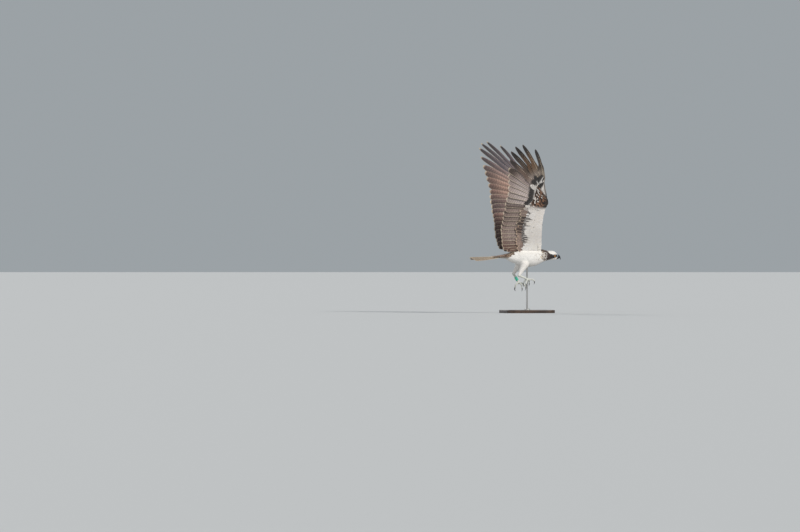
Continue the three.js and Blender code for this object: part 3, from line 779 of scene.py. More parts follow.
def dress_brow(coat, side):
    """Small feathers on the crest above an eye, which the rings of the trunk pass under."""
    count = BROW_ROWS * BROW_ROUND
    x = np.repeat(np.linspace(13, -13, BROW_ROWS), BROW_ROUND)
    turn = np.tile(np.linspace(-0.9, 2.2, BROW_ROUND), BROW_ROWS) + 0.1 * rng.normal(size=count)
    out = np.stack([0 * x, side * np.cos(turn), np.sin(turn)], -1)
    roots = ridge_point(x + 0.5 * rng.normal(size=count), side) + 3.5 * out
    chance = rng.random(count)
    size = 5.5 + chance
    flow = np.array([-1, 0, -0.1]) + 0.1 * rng.normal(size=roots.shape)
    lay_feathers(coat, roots, flow, size, 0.2 * size, 0.05 * size + 0.2, body_colour(roots, chance),
                 streak=0.3, shape=HEAD_WIDTH)


def dress_lores():
    """Brow feathers, and bristles in four rings at the base of the bill."""
    coat = Plumage()
    for side in (1, -1):
        dress_brow(coat, side)
    count = BRISTLES * len(BRISTLE_X)
    angle = np.tile(circle(BRISTLES), len(BRISTLE_X)) + 0.05 * rng.normal(size=count)
    roots = trunk_point(np.repeat(BRISTLE_X, BRISTLES), angle, -COAT_DEPTH)
    chance = rng.random(count)
    outward = unit(roots * [0, 1, 1] - [0, 0, 339])
    flow = np.array([1, 0, 0.12]) - 0.25 * outward + 0.12 * rng.normal(size=roots.shape)
    size = 5.5 + 1.5 * chance
    base, fringe = body_colour(roots, chance)
    lay_feathers(coat, roots, flow, size, np.full(count, 0.8), 0.1 * size, (base * 0.9, fringe),
                 shape=HEAD_WIDTH, free=True)
    finish_piece(coat.build("lores"), plume, "plumage_white")


dress_lores()

# %% [markdown]
# Rows of roots are set ring by ring down the trunk, close on the head and wide on the belly, as the
# feathers grow from five to thirty millimetres. They stream back from the face. The coat is kept in
# four pieces, so that none of them grows too heavy.

# %% Dress the trunk
FEATHER_LENGTH = track([[-64, 34], [60, 27], [150, 20], [180, 14.5], [205, 11.5], [240, 8.5], [264, 4.5]])
FACE_POINT = np.array([290, 0, 336])
HEAD_X = 225
HIP_MIDDLE = np.array([-8, 0, -14])


def trunk_roots(start, end, fineness):
    """Ring after ring of roots from start back to end, fineness times as dense as on the breast."""
    roots, x, row = [], start, 0
    while x > end:
        size = float(FEATHER_LENGTH(x)[0])
        top, bottom, half = trunk_at(x)
        girth = 2 * np.pi * math.sqrt((((top - bottom) / 2) ** 2 + half**2) / 2)
        count = round(girth / (0.31 * size) * fineness)
        angle = 2 * np.pi * (np.arange(count) + 0.5 * (row % 2) + 0.25 * rng.random(count)) / count
        roots.append(trunk_point(x + 0.1 * size * (rng.random(count) - 0.5), angle, -COAT_DEPTH))
        x -= 0.24 * size / fineness**0.5
        row += 1
    return np.concatenate(roots)


def near_skin(roots, room):
    """Which roots are no further than room from the skin."""
    return np.linalg.norm(on_skin(roots)[0] - roots, axis=1) < room


def clear_of_eye(roots):
    """False where a feather would start or end over an eye."""
    spot = (roots[:, [0, 2]] - EYE[[0, 2]]) / [8.2, 7.4]
    behind = (roots[:, [0, 2]] - [6, 0] - EYE[[0, 2]]) / [9.0, 6.6]
    return ((spot**2).sum(1) > 1) & ((behind**2).sum(1) > 1) | (np.abs(roots[:, 1]) < 8)


def dress_trunk(name, start, end, fineness=1.0, shape=BODY_WIDTH):
    coat = Plumage()
    roots = trunk_roots(start, end, fineness)
    roots = roots[near_skin(roots, np.where(roots[:, 0] > HEAD_X, 9, 4)) & clear_of_eye(roots)]
    size = FEATHER_LENGTH(roots[:, 0])[:, 0] * (0.85 + 0.3 * rng.random(len(roots)))
    chance = rng.random(len(roots))
    hips = [np.linalg.norm(roots - leg["hip"] - HIP_MIDDLE, axis=1) for leg in LEGS.values()]
    size = size * np.interp(np.minimum(*hips), [22, 42], [0.5, 1])
    flow = unit(roots - FACE_POINT) * [1, 0.8, 0.8] + [0, 0, -0.05]
    flow = flow + 0.1 * rng.normal(size=flow.shape)
    base, fringe = body_colour(roots, chance)
    base = base * (0.93 + 0.12 * rng.random((len(roots), 1)))
    lay_feathers(coat, roots, flow, size, 0.25 * size / fineness, 0.03 * size + 0.25, (base, fringe),
                 streak=np.where(roots[:, 0] > CROWN_X, 0.3, 0.15), shape=shape)
    finish_piece(coat.build(name), plume, "plumage_white")


dress_trunk("coat_head", 263, 212, 1.5, HEAD_WIDTH)
dress_trunk("coat_neck", 212, 165, 1.35, HEAD_WIDTH)
dress_trunk("coat_breast", 165, 80)
dress_trunk("coat_belly", 80, -64)

# %% [markdown]
# Between two feathers the skin may show through. Real down hides it, so here the skin itself takes the
# tones of the feathers above it, with a fine soft grain.

# %% Colour the skin alike
average = np.full(len(skin_points), 0.6)
skin = mesh_piece("skin", skin_points, [skin_faces],
                  {"tint": strong(body_colour(skin_points, average)[0])})
down = Finish("down", roughness=0.9, sheen_weight=0.2)
fluff = down.grain(down.where(), 900.0)
down.colour(down.shaded(down.read("tint", "Color"), down.step(fluff, 0.3, 0.7, 0.8, 1.0)))
down.bump(fluff, 0.5, 0.0006)
finish_piece(skin, down.material, "plumage_white", "torso", "neck", "head", "thigh_left", "thigh_right")

# %% [markdown]
# The legs' feathers run down from hip to heel like close trousers, which stop short of the bare tarsus.

# %% Dress the thighs
THIGH_STEP = 4.5
THIGH_SPACING = 5.0


def dress_thigh(name, leg):
    coat = Plumage()
    long = np.linalg.norm(leg["heel"] - leg["hip"])
    down_leg = unit(leg["heel"] - leg["hip"])
    across = unit(np.cross(down_leg, [0, 1, 0]))
    third = np.cross(down_leg, across)
    roots = []
    for row, run in enumerate(np.arange(8, long - 3, THIGH_STEP)):
        radius = np.interp(run / long, THIGH_SHARES, THIGH_RADII)
        count = round(2 * np.pi * radius / THIGH_SPACING)
        turns = (np.arange(count) + 0.5 * (row % 2) + 0.3 * rng.random(count)) / count
        angle = (2 * np.pi * turns)[:, None]
        roots.append(leg["hip"] + down_leg * run
                     + radius * (np.cos(angle) * across + np.sin(angle) * third))
    roots = np.concatenate(roots)
    roots = roots[near_skin(roots, 4)]
    share = (roots - leg["hip"]) @ down_leg / long
    size = np.interp(share, [0, 0.6, 1], [20, 15, 9]) * (0.9 + 0.2 * rng.random(len(roots)))
    tint = blend(WHITE, GREY_BUFF, 0.35 * rng.random(len(roots)))
    flow = down_leg + 0.08 * rng.normal(size=roots.shape)
    lay_feathers(coat, roots, flow, size, 0.3 * size, 0.03 * size + 0.3, (tint, strong(tint, 0.0)),
                 streak=0.1)
    finish_piece(coat.build(name), plume, "plumage_white")


dress_thigh("coat_thigh_right", LEGS["right"])
dress_thigh("coat_thigh_left", LEGS["left"])

# %% [markdown]
# A wing's surface is easiest to describe by its feathers: a number that says which flight feather we are
# at, and a distance along that feather's line, negative over the flesh in front of its root. Anything
# placed by those two numbers fans out and overlaps as the real tiers do.

# %% Describe the wing by its feathers
PRIMARIES = 10
LAST_FEATHER = 24
FEATHER_ROOTS = track([
    [1, 112, 187, 772], [5, 124, 163, 722], [10, 138, 138, 672], [13, 104, 120, 622],
    [17, 66, 88, 520], [20, 70, 66, 456], [22, 76, 52, 416], [24, 72, 42, 384],
])
FEATHER_TIPS = track([
    [1, 5, 352, 994], [2, -78, 368, 1020], [3, -118, 350, 1009], [4, -136, 322, 979],
    [5, -134, 297, 928], [6, -127, 265, 876], [8, -117, 222, 802], [10, -110, 187, 727],
    [12, -113, 152, 662], [17, -113, 76, 528], [20, -108, 60, 460], [22, -99, 50, 412],
    [23, -90, 45, 392], [24, -62, 39, 374],
])
# How far the flesh reaches in front of a feather's root
FORWARD = track([[1, 16], [5, 26], [10, 26], [13, 46], [17, 80], [20, 82], [24, 84]])


def feather_frame(number):
    """Root, direction, length, forward and upward directions of a flight feather on the left wing."""
    number = np.asarray(number, float)
    root, tip = FEATHER_ROOTS(number), FEATHER_TIPS(number)
    length = np.linalg.norm(tip - root, axis=-1, keepdims=True)
    along = (tip - root) / length
    low, high = np.maximum(number - 0.5, 1), np.minimum(number + 0.5, LAST_FEATHER)
    outward = FEATHER_TIPS(low) + FEATHER_ROOTS(low) - FEATHER_TIPS(high) - FEATHER_ROOTS(high)
    up = unit(np.cross(outward, along))
    front = unit(np.cross(along, up))
    return root, along, length, front, np.cross(front, along)


def bows(number):
    """How far a flight feather bows forwards and upwards half way along."""
    return np.maximum(0, 16 - 1.45 * number), 10 + 4 * ease(9, 12, number)


def wing_sheet(number, run):
    """A point on the sheet of the flight feathers and the upward direction there."""
    root, along, length, front, up = feather_frame(number)
    share = np.clip(run / length[..., 0], 0, 1)
    bow = 4 * share * (1 - share)
    forward, upward = bows(number)
    bent = front * (forward * bow)[..., None] + up * (upward * bow)[..., None]
    return root + along * run[..., None] + bent, up


print("longest flight feather:", round(feather_frame(np.arange(1, 25))[2].max()), "mm")

# %% [markdown]
# The coverts have to clear the flesh. So its height over the feathers' sheet is measured once with rays,
# on a net of feather numbers and distances, and smoothed. Between the knots it is read off the net.

# %% Measure how high the flesh stands
NUMBER_STEP, RUN_STEP = 0.5, 6.0
NET_NUMBERS = np.arange(0.5, 25.01, NUMBER_STEP)
NET_RUNS = np.arange(-90, 151, RUN_STEP)
PROBE, PROBE_PAST = 32, 12  # a ray starts this far off the sheet and ends this far behind it


def flesh_height(face):
    """Heights at the knots of the net, on the wing's back, face 1, or its belly, face -1."""
    number, run = np.meshgrid(NET_NUMBERS, NET_RUNS, indexing="ij")
    sheet, up = wing_sheet(number, run)
    heights = np.zeros(number.shape)
    for index in np.ndindex(number.shape):
        ray = Vector(-face * up[index])
        start = Vector(sheet[index] - PROBE * np.array(ray))
        hit = skin_tree.ray_cast(start, ray, PROBE + PROBE_PAST)[0]
        if hit is not None:
            heights[index] = face * (np.array(hit) - sheet[index]) @ up[index]
    for _ in range(3):
        wide = np.pad(heights, 1, mode="edge")
        heights = wide[1:-1, 1:-1] * 2 + wide[:-2, 1:-1] + wide[2:, 1:-1]
        heights = (heights + wide[1:-1, :-2] + wide[1:-1, 2:]) / 6
    return heights


def net_height(face, number, run):
    """The flesh's height from the net, between its knots."""
    i = np.clip((number - NET_NUMBERS[0]) / NUMBER_STEP, 0, len(NET_NUMBERS) - 1.001)
    j = np.clip((run - NET_RUNS[0]) / RUN_STEP, 0, len(NET_RUNS) - 1.001)
    a, b = i.astype(int), j.astype(int)
    u, v = i - a, j - b
    net = HEIGHTS[face]
    low = net[a, b] * (1 - v) + net[a, b + 1] * v
    return low * (1 - u) + (net[a + 1, b] * (1 - v) + net[a + 1, b + 1] * v) * u


HEIGHTS = {face: flesh_height(face) for face in (1, -1)}
for face, word in ((1, "over"), (-1, "under")):
    print("flesh stands up to", round(HEIGHTS[face].max(), 1), "mm", word, "the feathers")

# %% [markdown]
# A stiff shaft runs down each long feather and tapers all the way. It is a thin six-sided rod, coloured
# apart above and below.

# %% Grow the shafts
SHAFT_SIDES = 6
SHAFT_ENDS = np.array([[0, 3, 2, 1], [0, 5, 4, 3]])


def shafts(piece, line, outward, side, radius, tone_back, tone_belly, uv):
    """Tapered shafts along lines of points, for feathers that are already placed."""
    angle = circle(SHAFT_SIDES)
    ring = np.cos(angle)[:, None] * side[:, :, None] + np.sin(angle)[:, None] * outward[:, :, None]
    points = line[:, :, None] + ring * radius[..., None, None]
    shape = points.shape[:3]
    grid = np.arange(shape[1] * SHAFT_SIDES).reshape(-1, SHAFT_SIDES)
    faces = [grid_faces(grid, ring=True), SHAFT_ENDS, grid[-1, 0] + SHAFT_ENDS[:, ::-1]]
    above = (np.sin(angle) > 0)[:, None]
    tint = np.where(above, spread(tone_back, shape), spread(tone_belly, shape))
    none = np.zeros(shape + (3,))
    piece.keep(points, np.concatenate(faces), uv, none, none, strong(tint), strong(none, 0.0))


print("a shaft has", SHAFT_SIDES, "sides")

# %% [markdown]
# Flight feathers carry the bird, so each is built on its own curve: a narrow leading web, a broad
# trailing one, and a deep notch near the tip of the five outer primaries. The leading web lies a little
# higher, so each one overlaps its neighbour as shingles do. The tail's feathers are made the same way.

# %% Shape long feathers
tip_rows = 1 - 0.2 * (1 - np.linspace(0, 1, 12)[1:]) ** 1.6
FLIGHT_ROWS = np.concatenate([np.linspace(0, 0.8, 25), tip_rows])
FLIGHT_COLUMNS = np.array([-1, -0.75, -0.5, -0.25, -0.06, 0.06, 0.5, 1])
SHAFT_COLUMN = 4
LONG_HALF = 0.3  # half the thickness of a vane
SHAFT_TAPER = 0.93


def feather_stack(piece, lines, shape, tilt, rows, shaft, shaft_tones, looks, under):
    """Adds long feathers. lines says root, direction, length, front and up of each, and shape the
    reach of its leading and trailing web, its bows forwards and upwards, its notch and how pointed
    it is."""
    root, along, length, front, up = lines
    count = len(root)
    each = (slice(None), None, None)
    lead, trail, bend, arch, notch, point = [np.broadcast_to(value, count)[each] for value in shape]
    t = rows[:, None]
    bow = 4 * t * (1 - t)
    line = root[each] + (along * length)[each] * t[..., None]
    line = line + front[each] * (bend * bow)[..., None] + up[each] * (arch * bow)[..., None]
    start = np.clip((t - point) / (1 - point), 0, 1)
    rounding = np.sqrt(np.maximum(0.003, 1 - start**2.2))
    width = np.minimum(1, 0.25 + 4.5 * t) * rounding * (1 - notch * ease(0.42, 0.58, t))
    frayed = 1 - 0.05 * rng.random((count, len(rows), 1)) * ease(0.1, 0.4, t)
    reach = np.where(FLIGHT_COLUMNS > 0, lead, trail) * FLIGHT_COLUMNS * width * frayed
    sway = np.cos(tilt) * front + np.sin(tilt) * up
    lift = np.cos(tilt) * up - np.sin(tilt) * front
    twist = ease(0.2, 0.6, t)
    droop = -0.06 * np.where(FLIGHT_COLUMNS < 0, np.abs(reach), 0) * twist
    flatter = (1 - twist) * math.sin(tilt) * reach
    middle = line + sway[each] * reach[..., None] + lift[each] * droop[..., None]
    middle = middle - up[each] * flatter[..., None]
    u = (np.arange(count) / count)[each] + (0.5 + 0.46 * FLIGHT_COLUMNS) * 0.45 / count
    uv = np.stack(np.broadcast_arrays(u, 0.01 + 0.98 * t), -1)
    piece.add(middle, grid_outward(middle, up[each]), LONG_HALF, rows, FLIGHT_COLUMNS, length[:, 0],
              uv=uv, under={"uv": uv + [0.5 / count, 0], **under}, **looks)
    centre = line[:, :, 0]
    radius = (shaft * (1 - SHAFT_TAPER * rows**0.8))[None] * np.ones((count, 1))
    flat, high = [np.broadcast_to(way[:, None], centre.shape) for way in (sway, lift)]
    shaft_uv = np.broadcast_to(uv[:, :, [SHAFT_COLUMN]], uv.shape[:2] + (SHAFT_SIDES, 2))
    shafts(piece, centre, high, flat, radius, *shaft_tones, shaft_uv)


print("a flight feather has", FLIGHT_ROWS.size * FLIGHT_COLUMNS.size, "points on each face")

# %% [markdown]
# The flight feathers change tone along the wing and along their own length. Below, the fingers are black
# at the tip and pale at the base, and the arm is grey buff. Above, pale and brown groups alternate.

# %% Tint the flight feathers
# Feather number, then screen tones at the base, half way and at the tip
TONES_BELOW = track([
    [1, 0.60, 0.55, 0.50, 0.25, 0.20, 0.16, 0.13, 0.10, 0.09],
    [2, 0.62, 0.56, 0.52, 0.44, 0.32, 0.21, 0.15, 0.11, 0.09],
    [3, 0.63, 0.57, 0.53, 0.42, 0.30, 0.20, 0.15, 0.11, 0.09],
    [4, 0.64, 0.58, 0.55, 0.29, 0.23, 0.19, 0.14, 0.11, 0.09],
    [5, 0.68, 0.62, 0.59, 0.40, 0.32, 0.28, 0.17, 0.13, 0.11],
    [6, 0.74, 0.68, 0.66, 0.64, 0.57, 0.55, 0.30, 0.24, 0.21],
    [7, 0.77, 0.71, 0.69, 0.74, 0.68, 0.66, 0.60, 0.53, 0.51],
    [11, 0.77, 0.71, 0.69, 0.75, 0.69, 0.67, 0.66, 0.60, 0.57],
    [12, 0.72, 0.65, 0.62, 0.68, 0.61, 0.59, 0.60, 0.53, 0.50],
    [13, 0.60, 0.52, 0.48, 0.56, 0.49, 0.46, 0.50, 0.43, 0.40],
    [20, 0.58, 0.50, 0.46, 0.53, 0.46, 0.43, 0.48, 0.40, 0.37],
    [22, 0.48, 0.37, 0.32, 0.43, 0.33, 0.29, 0.40, 0.29, 0.25],
    [24, 0.44, 0.33, 0.28, 0.40, 0.29, 0.25, 0.36, 0.26, 0.22],
])
TONES_ABOVE = track([
    [1, 0.33, 0.28, 0.30, 0.32, 0.28, 0.32, 0.22, 0.19, 0.21],
    [4, 0.36, 0.31, 0.33, 0.34, 0.30, 0.34, 0.24, 0.20, 0.22],
    [5, 0.52, 0.43, 0.42, 0.49, 0.41, 0.41, 0.35, 0.29, 0.30],
    [7, 0.67, 0.54, 0.49, 0.64, 0.51, 0.46, 0.45, 0.35, 0.32],
    [10, 0.70, 0.56, 0.50, 0.69, 0.55, 0.49, 0.52, 0.40, 0.36],
    [12, 0.50, 0.40, 0.38, 0.47, 0.37, 0.35, 0.38, 0.30, 0.29],
    [14, 0.50, 0.40, 0.38, 0.48, 0.38, 0.36, 0.40, 0.31, 0.30],
    [15, 0.68, 0.54, 0.49, 0.66, 0.52, 0.47, 0.50, 0.38, 0.35],
    [17, 0.56, 0.46, 0.42, 0.52, 0.42, 0.38, 0.42, 0.33, 0.31],
    [20, 0.46, 0.37, 0.34, 0.42, 0.33, 0.30, 0.36, 0.28, 0.26],
    [24, 0.36, 0.26, 0.22, 0.33, 0.24, 0.20, 0.28, 0.20, 0.17],
])
# Painted shadow: below, this feather's trailing web is darkened for the shaded gap where the pale group
# ends.
GAP_SHADE_FEATHER = 12  # below, this feather's trailing web is dark where the pale group ends


def flight_tones(table, number, t):
    """Tones of flight feathers along their length, from one of the two tables."""
    tones = table(number)
    base, middle, tip = tones[..., :3], tones[..., 3:6], tones[..., 6:]
    first, second = ease(0.28, 0.52, t)[..., None], ease(0.62, 0.92, t)[..., None]
    return tone(base + (middle - base) * first + (tip - middle) * second)


def flight_tints(numbers):
    """Tones at every point of some flight feathers, above and below, with small differences and painted
    shade.
    """
    number, t, column = np.broadcast_arrays(numbers[:, None, None], FLIGHT_ROWS[:, None],
                                            FLIGHT_COLUMNS)
    each = 0.86 + 0.24 * rng.random((len(numbers), 1, 1, 1))
    above = flight_tones(TONES_ABOVE, number, t) * each
    above = above * (1 - 0.5 * ease(0.2, -0.4, column))[..., None]
    below = flight_tones(TONES_BELOW, number, t) * each
    # Below, painted shadow darkens the trailing web of the feather where the pale group ends.
    return above, blend(below, BROWN, 0.8 * (number == GAP_SHADE_FEATHER) * ease(-0.1, -0.6, column))


print("tip of the outer primary below:", flight_tones(TONES_BELOW, 1, 1).round(3))

# %% [markdown]
# Primaries and secondaries are grown as two groups. A mirror turns the left wing into the right one.

# %% Grow flight feathers
FLIGHT_TILT = math.radians(8)
FINGERS = 5
FLIGHT_SHAFT = 1.9


def grow_flight(name, side, *nodes):
    """The flight feathers of one wing, side 1 for the left wing and -1 for the right."""
    piece = Plumage()
    mirror = np.array([1, side, 1])
    for first, last in ((1, PRIMARIES), (PRIMARIES + 1, LAST_FEATHER)):
        numbers = np.arange(first, last + 1.0)
        root, along, length, front, up = feather_frame(numbers)
        length = length + 5 * (rng.random(length.shape) - 0.5)
        above, below = flight_tints(numbers)
        primary, fingered = numbers <= PRIMARIES, numbers <= FINGERS
        looks = {"tint": above, "fringe": strong(CREAM, np.where(primary, 0.55, 0.9)),
                 "bars": np.where(fingered, 0.1, 0.5), "streak": 0.5}
        edge = np.where(fingered[:, None], strong(GREY_BROWN, 0.25), strong(CREAM, 0.75))
        under = {"tint": below, "fringe": edge, "bars": np.where(fingered, 0.1, 0.45)}
        shape = (np.where(primary, 12.5, 17.0), np.interp(numbers, [21, 24], [28, 10]), *bows(numbers),
                 np.where(fingered, 0.5 - 0.05 * numbers, 0), np.where(fingered, 0.72, 0.84))
        lines = (root * mirror, along * mirror, length, front * mirror, up * mirror)
        feather_stack(piece, lines, shape, FLIGHT_TILT, FLIGHT_ROWS, FLIGHT_SHAFT,
                      (blend(BROWN, BUFF, 0.35), CREAM), looks, under)
    finish_piece(piece.build(name), quill, "plumage_brown", *nodes)


grow_flight("flight_feathers_left", 1, "wing_left")
grow_flight("flight_feathers_right", -1, "wing_right")

# %% [markdown]
# The tail is a flat fan of twelve feathers. The middle pair lies on top and each next one slides under
# its inner neighbour, so the height falls off to the sides. Pale bars and a pale tip run across it.

# %% Fan the tail
TAIL_FEATHERS = 12
TAIL_FAN = math.radians(13)
TAIL_FALL = math.radians(4.5)
TAIL_TILT = math.radians(2.5)
TAIL_ROOT = np.array([-78, 0, 341])
TAIL_ROWS = FLIGHT_ROWS[::2]
TAIL_SHAPE = (10.0, 15.0, 0.0, 3.0, 0.0, 0.87)
TAIL_SHAFT = 1.3


def tail_lines():
    """Root, direction, length, front and up of each tail feather, from the right side to the left."""
    number = np.arange(TAIL_FEATHERS)
    share = 2 * number / (TAIL_FEATHERS - 1) - 1
    level = 1.4 * (5.5 - np.abs(number - 5.5)) - 7 * share**2
    root = TAIL_ROOT + np.stack([6 * np.abs(share), 11 * share, 0.25 * level], -1)
    length = (208 - 9 * np.abs(share) + 3 * (rng.random(TAIL_FEATHERS) - 0.5))[:, None]
    turn = share * TAIL_FAN
    fall = np.full(TAIL_FEATHERS, -math.sin(TAIL_FALL))
    reach = length * np.stack([-np.cos(turn) * math.cos(TAIL_FALL), np.sin(turn), fall], -1)
    reach[:, 2] += level
    along = unit(reach)
    side = np.where(share < 0, -1.0, 1.0)[:, None]
    up = unit(np.stack([0 * share, 0.16 * share, np.ones(TAIL_FEATHERS)], -1))
    front = unit(np.cross(up, along)) * -side
    return root, along, length, front, unit(np.cross(along, front)) * side


def grow_tail():
    piece = Plumage()
    shape = (TAIL_FEATHERS, len(TAIL_ROWS), len(FLIGHT_COLUMNS))
    darker = np.broadcast_to(ease(0.2, 0.9, TAIL_ROWS[:, None]), shape)
    looks = {"tint": blend(tone(0.62, 0.53, 0.44), BROWN, 0.25 * darker),
             "fringe": strong(CREAM, 0.9), "bars": 0.9}
    under = {"tint": blend(tone(0.74, 0.67, 0.58), PINK_BROWN, 0.2 * darker),
             "fringe": strong(CREAM, 0.7), "bars": 0.75}
    feather_stack(piece, tail_lines(), TAIL_SHAPE, TAIL_TILT, TAIL_ROWS, TAIL_SHAFT,
                  (blend(BUFF, BROWN, 0.4), BUFF), looks, under)
    finish_piece(piece.build("tail_feathers"), quill, "plumage_brown", "tail")


grow_tail()

# %% [markdown]
# Coverts hide the roots of the flight feathers in tiers. On the back of the wing they are brown with
# pale fringes. Below, the lining is white, a dark patch marks the wrist, and the hand's coverts end in
# black. Each tone again depends on the place and on a random number.

# %% Tint the wing coverts
NO_MARK = np.append(BROWN, [0.0, 0.5, 0.0])
LINING, ARM_GREAT = tone(0.88, 0.86, 0.845), tone(0.58, 0.50, 0.46)
WRIST_DARK, WRIST_PALE = tone(0.22, 0.15, 0.11), tone(0.54, 0.38, 0.28)


def above_colour(number, chance):
    """Tone, fringe and mark of coverts on the wing's back."""
    hand = ease(12, 8, number)
    base = blend(blend(BROWN, RUFOUS, 0.35 + 0.4 * chance), SLATE, 0.55 * hand)
    fringe = strong(blend(BUFF, CREAM, chance), 0.9 - 0.35 * hand)
    return base * (0.8 + 0.35 * chance)[..., None], fringe, NO_MARK


def below_mark(number, reach, chance, tier):
    """Dark ends and spots of coverts below: a tone, its strength, where it starts, how clear it
    leaves the edges."""
    great, median = tier == 0, tier == 1
    black_hand = great * ((number < 5.4) | (number > 7.2)) * (number < 11.6)
    black_hand = np.maximum(black_hand, median * (number < 6))
    spots = median * (number > 13.6) * (number < 22.5) * (chance > 0.25)
    blotch = great * (number > 14.6) * (number < 19.2)
    dots = (number > 14) * (np.abs(reach + 0.45) < 0.14) * (chance > 0.985)
    strength = np.maximum.reduce([black_hand * 0.97, spots * 0.9, blotch * 0.8, dots * 0.6])
    start = np.where(blotch, 0.25, 0.4 + 0.4 * (7 * chance % 1))
    start = np.where(black_hand > 0, 0.52 + 0.14 * great, start)
    clear = np.where(black_hand > 0, 0, 0.9)
    dark = blend(BLACKISH, BROWN, 0.6 * (black_hand == 0) * chance)
    return np.concatenate([dark, np.stack([strength, start, clear], -1)], -1)


def below_colour(number, run, chance, tier):
    """Tone, fringe and mark of coverts under the wing: white lining, dark wrist patch, grey arm."""
    reach = run / np.maximum(FORWARD(number)[..., 0], 1)
    great = tier == 0
    grey_arm = great * ease(12.2, 13.4, number)
    base = blend(blend(LINING, WHITE, ease(20, 24, number)), CREAM, 0.25 * chance)
    base = blend(base, ARM_GREAT * (0.75 + 0.4 * chance)[..., None], grey_arm)
    wrist = ease(4.2, 5.4, number) * ease(12.8, 11.6, number) * (not great)
    patch = wrist * (chance < np.interp(reach, [-0.5, 0.5, 2.4], [1, 0.9, 0.6]))
    inside = blend(WRIST_DARK, WRIST_PALE, ease(0.35, 0.75, chance))
    inside = blend(inside, BLACKISH, ease(0.05, -0.5, reach + 0.4 * (chance - 0.5)))
    base = blend(base, inside, patch)
    front = ease(-0.3, -0.5, reach) * ease(12, 4, number) * (number < 5)
    base = blend(base, BLACKISH, 0.6 * front)
    fringe = strong(blend(CREAM, BUFF, chance), 0.35 * patch * (chance > 0.5) + 0.5 * grey_arm)
    return base, fringe, below_mark(number, reach, chance, tier)


one = np.ones(1)
print("a covert of the wrist:", below_colour(9 * one, 0 * one, 0.2 * one, 2)[0].round(2))

# %% [markdown]
# A row of coverts is set by feather number and distance, and raised to where the flesh under it stands.
# Each is a little crowned and tilted, so that the next one tucks in under its edge.

# %% Lay a row of coverts
COVERT_ROWS = np.array([0, 0.25, 0.5, 0.66, 0.76, 0.87, 0.95, 1])
COVERT_COLUMNS = np.array([-1, -0.5, 0, 0.5, 1])
COVERT_WIDTH = np.array([0.5, 0.88, 1, 0.99, 0.93, 0.73, 0.47, 0.14])
COVERT_HALF = 0.15  # half the thickness of a vane
EDGE_NUMBERS = {1: (0.55, 24.0), -1: (0.55, 24.9)}  # how far a face's coverts may spread


def spacing(number, run):
    """How far apart two neighbouring flight feathers' lines run at a place."""
    apart = wing_sheet(number + 0.25, run)[0] - wing_sheet(number - 0.25, run)[0]
    return np.maximum(2 * np.linalg.norm(apart, axis=-1), 7)


def covert_row(coat, side, face, number, run, length, width, root_lift, tip_lift, colours, **looks):
    """One row of coverts. number and run say where each is rooted, face 1 is the wing's back."""
    each = (slice(None), None, None)
    t = COVERT_ROWS[:, None]
    gap = spacing(number, run + 0.4 * length)[each]
    n = number[each] - COVERT_COLUMNS * (width * COVERT_WIDTH[:, None]) / gap
    n = np.clip(n, *EDGE_NUMBERS[face])
    s = run[each] + length[each] * t + 0 * n
    sheet, up = wing_sheet(n, s)
    high = np.sqrt(np.maximum(net_height(face, n, s), 0) ** 2 + 2.2**2) - 0.6
    high = high + root_lift * (1 - t) + tip_lift * t**1.2
    high = high + 0.07 * width * (1 - COVERT_COLUMNS**2)
    high = high + face * COVERT_COLUMNS * width * 0.06
    middle = (sheet + up * (face * high)[..., None]) * [1, side, 1]
    base, fringe, mark = colours
    mark = np.broadcast_to(mark, base.shape[:1] + (6,))[each]
    edges_clear = 1 - mark[..., 5] * ease(0.5, 1, np.abs(COVERT_COLUMNS))
    share = mark[..., 3] * ease(0, 0.11, t - mark[..., 4]) * edges_clear
    on_map = np.stack([(number - 0.5) / 25 * 0.8 + 0.1, 0.5 + (run + 90) / 500], -1)
    coat.add(middle, grid_outward(middle, up * [1, side, 1] * face), COVERT_HALF, COVERT_ROWS,
             COVERT_COLUMNS, length, tint=blend(base[each], mark[..., :3], share), fringe=fringe,
             uv=patch_map(on_map, COVERT_ROWS, COVERT_COLUMNS), **{"streak": 0.3, **looks})


print("a covert has", COVERT_ROWS.size * COVERT_COLUMNS.size, "points on each face")

# %% [markdown]
# Tier by tier the wing is shingled: long great coverts over the flight feathers' roots, median ones over
# the roots of those, a dense field round the wrist below, and small ones on to the leading edge.

# %% Shingle the wings
GREAT, MEDIAN, SMALL, WRIST = range(4)
GREAT_SHARE = ([1, 3, 5, 8, 11, 13, 24], [0.22, 0.28, 0.36, 0.43, 0.43, 0.48, 0.46])
MEDIAN_SHARE = ([1, 3, 5, 8, 13, 24], [0.09, 0.16, 0.2, 0.24, 0.26, 0.28])
MEDIAN_ROOT = 0.2  # in front of the flight feathers' roots, as a share of the flesh there
WRIST_RUNS = (58, 48, 39, 30, 21, 12, 3, -6)
SMALL_ROOTS = (0.22, 0.32, 0.42, 0.52, 0.61, 0.70, 0.78, 0.86)


def along_row(run_at, step, first, last):
    """Feather numbers step millimetres apart on the line where run_at tells the distance."""
    numbers = [first]
    while numbers[-1] < last:
        here = np.array(numbers[-1])
        numbers.append(numbers[-1] + step / float(spacing(here, run_at(here))))
    return np.array(numbers)


